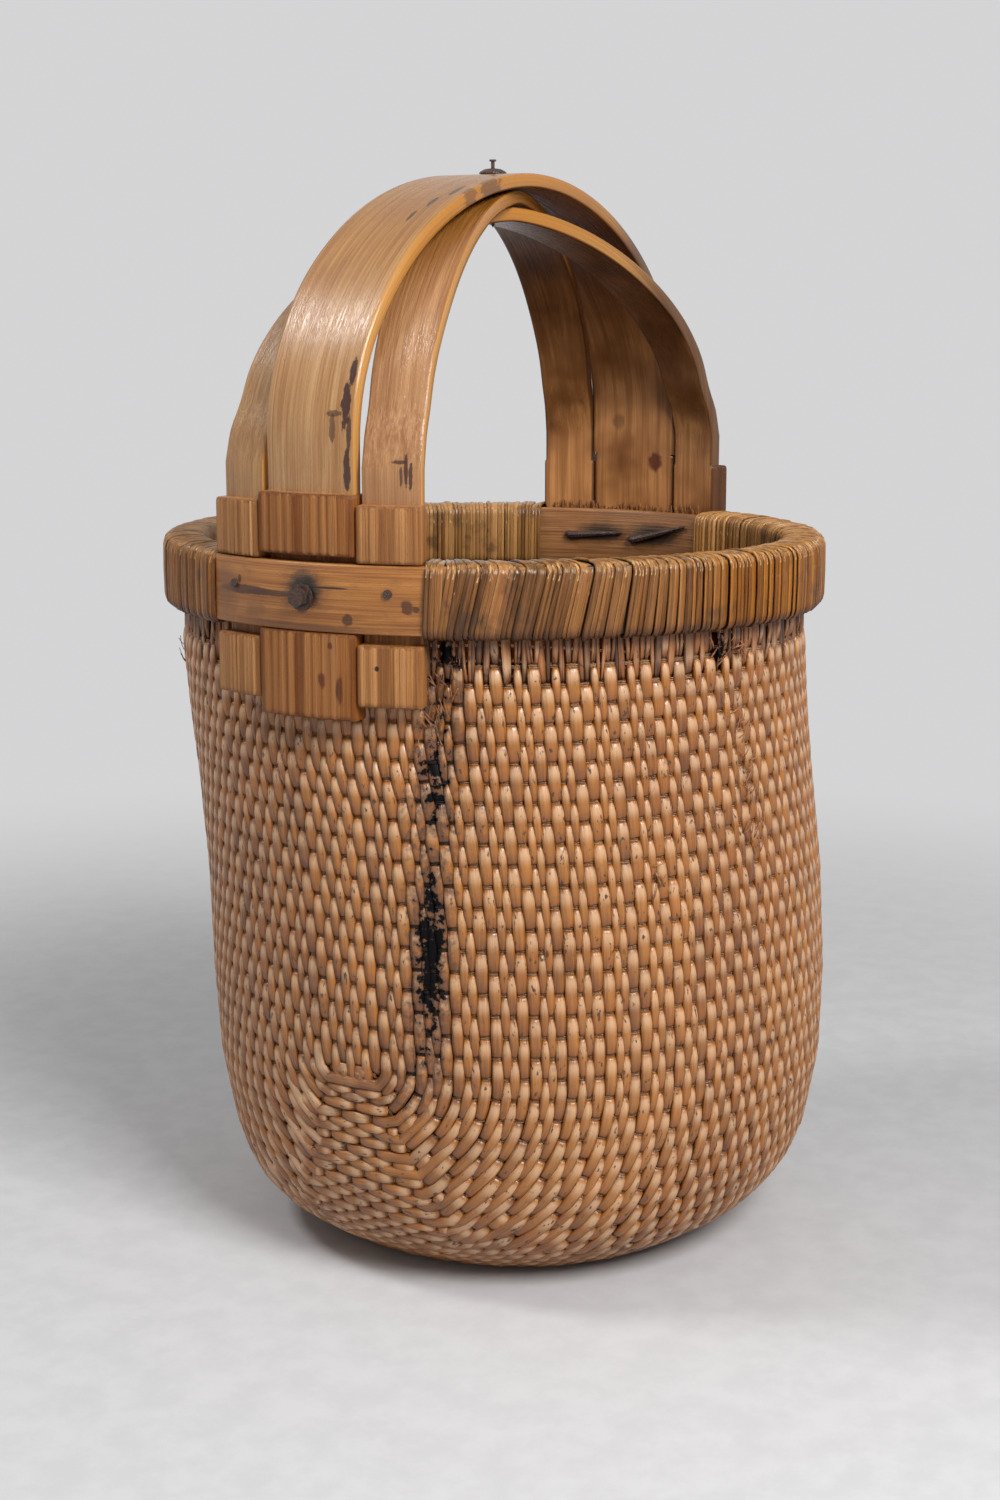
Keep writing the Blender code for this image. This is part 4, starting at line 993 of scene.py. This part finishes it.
colour = layered(
    tree, mix(tree, olive, brown, golden),
    (times(tree, turn_tone, 0.40), (0.085, 0.030, 0.006)),
    (times(tree, fibres["Streak"], 0.35), mix(tree, olive, (0.42, 0.195, 0.060), (0.42, 0.160, 0.008))),
    (times(tree, fibres["Fine"], 0.75), (0.42, 0.32, 0.26), DARKEN),
    # Painted shade at the sides of each ribbon, between neighbouring ribbons
    (between(tree, level, -0.0002, 0.00045, 1.0, 0.0), (0.22, 0.13, 0.08), DARKEN),
    (edge, mix(tree, olive, (0.50, 0.28, 0.12), (0.52, 0.25, 0.035))),
    (inside, (0.56, 0.30, 0.11)),
    (between(tree, peeled, 0.64, 0.67, 0.0, 0.75), (0.62, 0.40, 0.19)),
    (times(tree, top, 0.6), (0.50, 0.25, 0.065)),
    # Painted shade along the lower edge, where the turns go into the weave
    (times(tree, between(tree, height, 0.3595, 0.3680, 1.0, 0.0), 0.75), (0.22, 0.13, 0.08), DARKEN),
    (between(tree, soot, 0.56, 0.70, 0.0, 0.65), (0.055, 0.026, 0.014)))
relief = times_add(tree, fibres["Fine"], 0.6, fibres["Streak"])
rough = times_add(tree, fibres["Streak"], 0.18, 0.17)
rattan = finished(material, colour, rough, relief, 0.00022, Specular_IOR_Level=0.36)


def front_lean(angle):
    leaning = float(ease(angle, -math.pi + LEG_HALF_ANGLE, -2.68)) * (1 - float(ease(angle, -2.40, -1.95)))
    return 0.0078 * leaning + 0.0006


front_binding = bind_run("binding_front", -math.pi + LEG_HALF_ANGLE, -LEG_HALF_ANGLE, TURN_COUNT, front_lean,
                         lambda angle: float(ease(angle, -2.2, -1.75)), rattan)
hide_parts("rim_binding_front")
back_binding = bind_run("binding_back", LEG_HALF_ANGLE, math.pi - LEG_HALF_ANGLE, TURN_COUNT,
                        lambda angle: 0.0005, lambda angle: 0.55 + 0.35 * math.cos(5 * angle), rattan)
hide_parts("rim_binding_back")

# Handle slats
# Three bent slats of wood arch over the basket and cross one under another at the crown. Each foot is
# a thick block, notched so that its lugs hold the outer hoop from above and from below.
SLAT_THICKNESS = 0.0078
LUG_PROUD = 0.0060
FOOT_THICKNESS = SLAT_THICKNESS + LUG_PROUD
NECK_DEPTH = OUTER_HOOP_THICKNESS + 0.0003
CROWN_HEIGHT, SPRING_HEIGHT = 0.5930, 0.4550
ARCH_ROUNDNESS = 1.93
SLAT_LAYER = SLAT_THICKNESS + 0.0006
FAN_ANGLE = 0.2576
HOLD_HEIGHT = 0.110
RIB_COUNT = 21
RIB_REACH, RIB_DEPTH = 0.44, 0.00085
EDGE_ROUNDING = 0.0013
LEAST_STEP = 0.0002
BAR_WIDTH, BAR_HEIGHT = 0.0333, 0.0100


def share_at(shares, place):
    """A value read from evenly spaced shares, on a smooth curve through them."""
    values = np.array(shares)
    place = np.clip(place, 0.0, 1.0) * (len(values) - 1)
    low = np.minimum(place.astype(int), len(values) - 2)
    a, b, c, d = (values[np.clip(low + k, 0, len(values) - 1)] for k in (-1, 0, 1, 2))
    t = place - low
    return b + t * ((c - a) + t * ((2 * a - 5 * b + 4 * c - d) + t * (3 * (b - c) + d - a))) / 2


def slat_stations(turn, layers, slat_width, foot_width, upper_gap, upper_height, lower_gap, lower_height):
    """Half of a slat from foot to crown: a table of its line, faces, width and hold to the rim."""
    reach = float(rim_radius(np.array(turn))) - LUG_PROUD
    upper_low = HOOP_TOP + upper_gap
    upper_high = upper_low + upper_height
    lower_high = HOOP_LOW - lower_gap
    lower_low = lower_high - lower_height
    rows = []

    def hold_at(height):
        return 1 - float(ease(height, upper_high, upper_high + HOLD_HEIGHT))

    # The lower lug, the neck behind the hoop, the upper lug, and the slat's first stretch
    for height, depth, width in (
        (lower_low, 0.0009, foot_width - 0.0010), (lower_low + 0.0010, 0.0001, foot_width),
        (lower_low + 0.0030, 0.0, foot_width), (lower_high - 0.0020, 0.0, foot_width),
        (lower_high - 0.0005, 0.0003, foot_width), (lower_high + 0.0001, 0.0010, foot_width - 0.0010),
        (lower_high + 0.0004, NECK_DEPTH, foot_width - 0.0016),
        (upper_low - 0.0004, NECK_DEPTH, foot_width - 0.0016),
        (upper_low - 0.0001, 0.0010, foot_width - 0.0010), (upper_low + 0.0005, 0.0003, foot_width),
        (upper_low + 0.0020, 0.0, foot_width), (upper_high - 0.0020, 0.0, foot_width),
        (upper_high - 0.0004, 0.0003, foot_width - 0.0004), (upper_high + 0.0002, 0.0010, foot_width - 0.0016),
        (upper_high + 0.0006, LUG_PROUD, slat_width), (upper_high + 0.0060, LUG_PROUD, slat_width),
        (upper_high + 0.0120, LUG_PROUD, slat_width), (upper_high + 0.0180, LUG_PROUD, slat_width),
    ):
        rows.append((reach, height, 1.0, 0.0, depth, FOOT_THICKNESS, width, hold_at(height)))
    rise = CROWN_HEIGHT - SPRING_HEIGHT
    for share in np.linspace(0.0, 1.0, 41):
        quarter = share * math.pi / 2
        out = max(math.cos(quarter), 0.0) ** (2 / ARCH_ROUNDNESS)
        up = math.sin(quarter) ** (2 / ARCH_ROUNDNESS)
        radius, height = reach * out, SPRING_HEIGHT + rise * up
        normal_x = out ** (ARCH_ROUNDNESS - 1) / (RIM_HALF_SPAN - LUG_PROUD)
        normal_z = up ** (ARCH_ROUNDNESS - 1) / rise
        size = math.hypot(normal_x, normal_z)
        depth = LUG_PROUD + SLAT_LAYER * float(share_at(layers, np.array(share)))
        rows.append((radius, height, normal_x / size, normal_z / size, depth, depth + SLAT_THICKNESS,
                     slat_width, hold_at(height)))
    return np.array(rows)


def bent_slat(name, solid, turn, layers, sizes, material, far_wider=0.0):
    """A straight bar, its long edges rounded, laid along the slat's line from foot to foot."""
    half = slat_stations(turn, layers, *sizes)
    near = np.c_[half, -np.ones(len(half))]
    far = np.c_[half[::-1][1:], np.ones(len(half) - 1)]
    table = np.concatenate([near, far])
    steps = np.hypot(np.diff(table[:, 0] * table[:, 8]), np.diff(table[:, 1]))
    lengths = np.concatenate([[0.0], np.cumsum(np.maximum(steps, LEAST_STEP))])
    total = lengths[-1]
    shape = bmesh.new()
    bmesh.ops.create_cube(shape, size=1.0)
    bmesh.ops.scale(shape, verts=shape.verts[:], vec=(total, BAR_WIDTH, BAR_HEIGHT))
    bmesh.ops.translate(shape, verts=shape.verts[:], vec=(total / 2, 0.0, 0.0))
    long_edges = [e for e in shape.edges if abs(e.verts[0].co.x - e.verts[1].co.x) > total / 2]
    bmesh.ops.bevel(shape, geom=long_edges, offset=EDGE_ROUNDING, segments=2, profile=0.5,
                    affect="EDGES", material=-1)
    rib_places = np.linspace(-RIB_REACH, RIB_REACH, RIB_COUNT)
    for spot, way in ([((0, share * BAR_WIDTH, 0), (0, 1, 0)) for share in rib_places]
                      + [((length, 0, 0), (1, 0, 0)) for length in lengths[1:-1]]):
        bmesh.ops.bisect_plane(shape, geom=shape.verts[:] + shape.edges[:] + shape.faces[:],
                               plane_co=spot, plane_no=way)
    co = np.array([v.co for v in shape.verts])
    row = read_at(co[:, 0], lengths, table)
    side = np.sign(row[:, 8])
    side[side == 0] = 1
    radius, height, normal_x, normal_z, outer, inner, width, hold = row[:, :8].T
    radius = radius * np.abs(row[:, 8])
    depth = inner + (outer - inner) * (co[:, 2] / BAR_HEIGHT + 0.5)
    lateral = co[:, 1] / BAR_WIDTH * width
    foot_top = HOOP_TOP + sizes[2] + sizes[3] + 0.0005
    lateral = lateral * (1 + far_wider * (side > 0) * (height > foot_top) * ease(radius, 0.156, 0.176))
    # The lugs are split along the grain, so their faces are ribbed
    foot = height < foot_top
    ribs = rng.uniform(0.0, RIB_DEPTH, RIB_COUNT) * (np.arange(RIB_COUNT) % 2 * 0.75 + 0.25)
    depth = depth - (foot & (depth < 0.0005)) * np.interp(co[:, 1] / BAR_WIDTH, rib_places, ribs, 0.0, 0.0)
    line_radius = radius - (depth - LUG_PROUD) * normal_x
    line_height = height - (depth - LUG_PROUD) * normal_z
    heading = np.array((math.cos(turn), math.sin(turn), 0.0))
    across = np.array((-math.sin(turn), math.cos(turn), 0.0))
    flat = heading * (line_radius * side)[:, None] + across * lateral[:, None]
    flat[:, 2] = line_height
    angle = np.where(side > 0, turn + lateral / RIM_HALF_SPAN, turn + math.pi - lateral / RIM_HALF_SPAN)
    cupped = polar(angle, line_radius + rim_radius(angle) - rim_radius(np.array(turn)), line_height)
    placed = flat + (cupped - flat) * hold[:, None]
    for vertex, point in zip(shape.verts, placed):
        vertex.co = point
    bmesh.ops.recalc_face_normals(shape, faces=shape.faces[:])
    mesh = bpy.data.meshes.new(name)
    shape.to_mesh(mesh)
    shape.free()
    note(mesh, "lie", np.stack([lateral, co[:, 0], depth], -1))
    note(mesh, "marks", np.stack([1.0 * foot, np.abs(co[:, 1]) / (BAR_WIDTH / 2), 0.5 - co[:, 2] / BAR_HEIGHT], -1))
    mesh.materials.append(material)
    mesh.shade_smooth()
    mesh.set_sharp_from_angle(angle=math.radians(50))
    made = link(name, mesh)
    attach(made, "root")
    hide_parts(solid)
    return made


def slat_finish(name, deep, bright, lug_deep, lug_bright, scale, stains):
    """Slat wood: smooth on the arch, ribbed on the lugs with a painted highlight on the ribs and painted shade in the
    grooves, gold at the near rims, darker on the inner faces, with painted shade under the top of the arch and along
    the edges on the far half.
    """
    material, tree = begin(name)
    place = read(tree, "lie")
    foot, rim, under = parts(tree, read(tree, "marks"))
    x, _, height = parts(tree, object_place(tree))
    depth = parts(tree, place)[2]
    inner = between(tree, under, 0.80, 0.97)
    foot = times(tree, foot, reckon(tree, "SUBTRACT", 1.0, inner))
    grain = use(tree, timber_grain, Place=place, Scale=scale)
    lug_grain = use(tree, timber_grain, Place=place, Scale=scale * 0.8)
    share = times_add(tree, grain["Lines"], 0.50, times(tree, grain["Bands"], 0.50))
    lug_share = times_add(tree, lug_grain["Lines"], 0.6, times(tree, grain["Bands"], 0.40))
    # Painted highlight on the proud ribs of the lugs and painted shade in the grooves between them
    painted_ridge_light = times(tree, foot, between(tree, depth, -0.00055, 0.0, 0.32, 0.0))
    painted_groove_shade = times(tree, between(tree, depth, -0.00022, 0.00002), between(tree, depth, 0.0006, 0.0012, 1.0, 0.0))
    lug = layered(
        tree, mix(tree, lug_share, lug_deep, lug_bright),
        (painted_ridge_light, mix(tree, 0.55, lug_bright, (0.70, 0.42, 0.20))),
        (times(tree, painted_groove_shade, 0.42), (0.26, 0.16, 0.10), DARKEN))
    handled = mottle(tree, object_place(tree), 16.0, 3.0, 0.6)
    gold = times(tree, between(tree, rim, 0.955, 0.985), reckon(tree, "SUBTRACT", 1.0, foot))
    gold = times(tree, gold, between(tree, x, 0.00, 0.09, 1.0, 0.15))
    shade = mix(tree, between(tree, handled, 0.35, 0.62), (0.150, 0.054, 0.016), (0.50, 0.225, 0.080))
    shade = mix(tree, times(tree, grain["Bands"], 0.7), shade, (0.22, 0.085, 0.026))
    # Painted shade on the inner faces under the top of the arch
    painted_vault_shade = times(tree, inner, between(tree, height, 0.450, 0.555, 0.0, 0.85))
    # Painted shade along the edges of the slats over the far half of the arch, where they lie close together
    painted_gap_shade = times(tree, between(tree, rim, 0.90, 0.99), between(tree, x, 0.08, 0.12, 0.0, 0.90))
    colour = layered(
        tree, mix(tree, share, deep, bright),
        (foot, lug),
        (times(tree, grain["Flecks"], 0.30), (0.22, 0.085, 0.030)),
        (between(tree, handled, 0.45, 0.75, 0.0, 0.55), (0.27, 0.115, 0.040)),
        (times(tree, gold, 0.80), (0.50, 0.235, 0.050)),
        (inner, shade),
        (between(tree, height, 0.510, 0.580), (0.82, 0.66, 0.26), DARKEN),
        (painted_vault_shade, (0.40, 0.31, 0.24), DARKEN),
        (painted_gap_shade, (0.20, 0.14, 0.11), DARKEN))
    colour = stained(tree, place, colour, 0.0, stains)
    outer_foot = times(tree, foot, times_add(tree, inner, -1.3, 1.3))
    relief = times_add(tree, grain["Flecks"], -0.35, grain["Lines"])
    relief = times(tree, relief, times_add(tree, foot, 0.60, 0.40))
    relief = reckon(tree, "ADD", relief, times(tree, lug_grain["Bands"], outer_foot))
    rough = times_add(tree, foot, 0.20, times_add(tree, grain["Lines"], 0.13, 0.17))
    gloss = times_add(tree, inner, -0.34, times_add(tree, foot, -0.30, 0.55))
    return finished(material, colour, rough, relief, 0.00032, Specular_IOR_Level=gloss)


# Stains as on the hoops, by their place across and along the slat from its near foot
SLAT_BROWN, KNOT = (0.036, 0.009, 0.005), (0.09, 0.024, 0.008)
centre_finish = slat_finish(
    "centre_slat_wood", (0.28, 0.120, 0.034), (0.48, 0.278, 0.122), (0.12, 0.030, 0.003), (0.31, 0.102, 0.014), 800.0, (
        (0.0060, 0.005, SLAT_BROWN, 0.10, (
            (-0.0222, 0.158, 0.0030, 0.0120, 0.96, 1.6), (-0.0240, 0.174, 0.0022, 0.0080, 0.96, 1.6),
            (-0.0165, 0.153, 0.0058, 0.0016, 0.70, 1.6), (-0.0150, 0.146, 0.0020, 0.0070, 0.70, 1.8),
            (-0.0248, 0.143, 0.0013, 0.0110, 0.85, 1.2), (-0.0236, 0.124, 0.0022, 0.0110, 0.92, 1.6))),
        (0.0, 0.005, KNOT, 0.30, (
            (-0.0110, 0.020, 0.0024, 0.0050, 0.85, 1.2), (-0.0210, 0.016, 0.0022, 0.0085, 0.90, 0.8),
            (-0.0160, 0.038, 0.0018, 0.0026, 0.90, 1.2))),
        (0.0060, 0.010, SLAT_BROWN, 0.10, (
            (-0.0190, 0.317, 0.0018, 0.0085, 0.90, 0.8), (-0.0140, 0.300, 0.0016, 0.0065, 0.85, 0.8),
            (-0.0110, 0.283, 0.0014, 0.0060, 0.85, 0.8))),
        (0.0100, 0.010, (0.10, 0.040, 0.014), 0.20, (
            (-0.0278, 0.337, 0.0060, 0.0120, 0.75, 2.2), (-0.0278, 0.315, 0.0050, 0.0070, 0.65, 2.2))),
        (FOOT_THICKNESS, 0.004, (0.085, 0.020, 0.010), 0.35, ((-0.0155, 0.663, 0.0062, 0.0070, 0.90, 1.0),)),
        (FOOT_THICKNESS, 0.004, (0.12, 0.050, 0.022), 0.40, ((0.0125, 0.639, 0.0050, 0.0060, 0.60, 1.2),)),
    ))
cross_finish = slat_finish(
    "cross_slat_wood", (0.245, 0.098, 0.032), (0.43, 0.225, 0.098), (0.19, 0.064, 0.014), (0.45, 0.195, 0.058), 760.0, (
        (0.0060, 0.010, SLAT_BROWN, 0.15, (
            (-0.0105, 0.116, 0.0010, 0.0070, 0.88, 1.8), (-0.0080, 0.118, 0.0011, 0.0080, 0.90, 1.8),
            (-0.0055, 0.115, 0.0008, 0.0045, 0.80, 1.8), (-0.0045, 0.122, 0.0045, 0.0010, 0.82, 1.6))),
        (0.0, 0.005, SOOT, 0.10, ((0.0060, 0.020, 0.0012, 0.0014, 0.95, 0.4),)),
    ))
under_finish = slat_finish(
    "under_slat_wood", (0.26, 0.115, 0.032), (0.49, 0.265, 0.095), (0.20, 0.070, 0.016), (0.45, 0.200, 0.062), 820.0,
    ((0.0060, 0.005, SOOT, 0.10, ((0.0080, 0.146, 0.0080, 0.0014, 0.85, 1.0),)),))

# Widths of slat and foot, then the gap to the hoop and the height of the upper and of the lower lug
centre_sizes = (0.0555, 0.0596, 0.0036, 0.0304, 0.0005, 0.0440)
cross_sizes = (0.0325, 0.0345, 0.0007, 0.0284, 0.0057, 0.0311)
bent_slat("centre_slat", "handle_centre_slat", 0.0, (0.0, 0.0), centre_sizes, centre_finish, 0.120)
bent_slat("upper_cross_slat", "handle_upper_cross_slat", FAN_ANGLE,
          (0.35, 1.00, 1.12, 1.28, 1.40, 1.45, 1.42, 1.34, 1.22, 1.10, 1.00), cross_sizes, cross_finish)
bent_slat("lower_cross_slat", "handle_lower_cross_slat", -FAN_ANGLE,
          (0.30, 1.00, 1.20, 1.50, 1.82, 2.08, 2.25, 2.33, 2.33, 2.24, 2.12), cross_sizes, under_finish)

# Torn edges: chips stand over the inner hoop at the far leg, and a near lug has lost its lower edge
chips = []


def tear(angle, out, heights, facing, half_widths):
    """One chip, its line out from the middle and up, its face turned to facing."""
    heading = np.array((math.cos(angle), math.sin(angle), 0.0))
    centres = heading * out[:, None]
    centres[:, 2] = heights
    chips.append((centres, heading * facing, half_widths))


share = np.linspace(0.0, 1.0, 4)
for lateral in np.linspace(-0.0560, 0.0560, 52):
    angle = (lateral + rng.normal(0, 0.0006)) / RIM_HALF_SPAN
    tall = rng.uniform(0.0030, 0.0085)
    out = float(rim_radius(np.array(angle))) - 0.0144 - rng.uniform(0.0, 0.0016) - 0.0008 * share
    tear(angle, out, HOOP_TOP - 0.0030 + tall * share, -1, rng.uniform(0.0007, 0.0019) * (1 - 0.55 * share ** 2))
for lateral in np.linspace(0.0010, 0.0300, 34):
    angle = math.pi - FAN_ANGLE - lateral / RIM_HALF_SPAN + 0.060
    out = float(rim_radius(np.array(angle))) - rng.uniform(0.0010, 0.0070) + 0.0010 * share
    tear(angle, out, HOOP_LOW - 0.0290 - rng.uniform(0.0015, 0.0055) * share, 1,
         rng.uniform(0.0003, 0.0010) * (1 - 0.6 * share))
torn = build_rods("torn_slat_fibres", [
    strand(centres, np.tile(facing, (len(centres), 1)), half_widths, half_widths * 0.5, rng.random(), 0.0, 1.0, 0.0, 0.0)
    for centres, facing, half_widths in chips], cross_finish, sides=4)

# Bolt, nails and washers
# Hand-worked iron: a bolt with its washer and nut through the near leg, small nails beside it, two long
# nails clenched over inside the far leg, and a nail with a domed washer at the crown.
material, tree = begin("old_iron")
where = object_place(tree)
rust = between(tree, mottle(tree, where, 420.0, 4.0, 0.65), 0.46, 0.62)
pits = mottle(tree, where, 1900.0, 2.0)
colour = mix(tree, pits, (0.035, 0.027, 0.025), (0.105, 0.085, 0.080))
colour = mix(tree, times(tree, rust, 0.75), colour, (0.125, 0.048, 0.022))
rough = times_add(tree, rust, 0.30, 0.38)
iron = finished(material, colour, rough, reckon(tree, "ADD", pits, rust), 0.00020, Metallic=0.65)
for fastener in ("near_leg_bolt", "near_leg_bolt_washer", "near_leg_nut", "near_leg_nail_front", "near_leg_nail_back",
                 "far_leg_clenched_nail_front", "far_leg_clenched_nail_back", "crown_nail", "crown_washer"):
    for slot in bpy.data.objects[fastener].material_slots:
        slot.material = iron

# Floor, light and camera
# A plain pale floor that runs out to a plain pale background, one large soft lamp above, a small one
# behind for the handle's sheen, and the sky.
floor_mesh = bpy.data.meshes.new("floor")
floor = link("floor", floor_mesh)
shape = bmesh.new()
bmesh.ops.create_circle(shape, cap_ends=True, segments=96, radius=60.0)
shape.to_mesh(floor_mesh)
shape.free()
BACKGROUND = (0.66, 0.66, 0.67)
floor_material, tree = begin("floor")
where = object_place(tree)
shader = tree.nodes["Principled BSDF"]
cloud = between(tree, mottle(tree, where, 40.0, 5.0, 0.65), 0.35, 0.65)
feed(tree, shader.inputs["Base Color"], mix(tree, cloud, (0.56, 0.56, 0.57), (0.60, 0.60, 0.61)))
shader.inputs["Roughness"].default_value = 0.9
far_off = new_node(tree, "VectorMath", where, operation="LENGTH").outputs["Value"]
glow = new_node(tree, "Emission", BACKGROUND)
joint = new_node(tree, "MixShader", between(tree, far_off, 0.40, 1.30), shader.outputs[0], glow.outputs[0])
tree.links.new(joint.outputs[0], tree.nodes["Material Output"].inputs["Surface"])
floor_mesh.materials.append(floor_material)

world = bpy.data.worlds.new("studio")
bpy.context.scene.world = world
world.use_nodes = True
tree = world.node_tree
sky = tree.nodes["Background"]
rays = new_node(tree, "LightPath").outputs
seen = reckon(tree, "MAXIMUM", rays["Is Camera Ray"], rays["Is Glossy Ray"])
seen = reckon(tree, "MAXIMUM", seen, rays["Is Transmission Ray"])
feed(tree, sky.inputs["Color"], mix(tree, seen, (1.0, 1.0, 1.0), BACKGROUND))
feed(tree, sky.inputs["Strength"], times_add(tree, seen, 0.72, 0.28))

for name, place, size, power in (
    ("lamp_over", (-0.75, -1.38, 1.42), 0.8, 41.0),
    ("lamp_back", (-0.74, 1.00, 1.83), 0.40, 14.0),
):
    data = bpy.data.lights.new(name, "AREA")
    data.size = size
    data.energy = power
    lamp = link(name, data)
    lamp.location = place
    lamp.rotation_euler = (Vector((0, 0, 0.25)) - Vector(place)).to_track_quat("-Z", "Y").to_euler()

camera_data = bpy.data.cameras.new("camera")
camera_data.lens = 56.96
camera_data.sensor_width = 36.0
camera = link("camera", camera_data)
camera.location = (-1.1491, -0.6945, 0.5264)
camera.rotation_euler = (math.radians(79.21), 0.0, math.radians(-59.02))
bpy.context.scene.camera = camera
bpy.context.scene.view_settings.view_transform = "Standard"
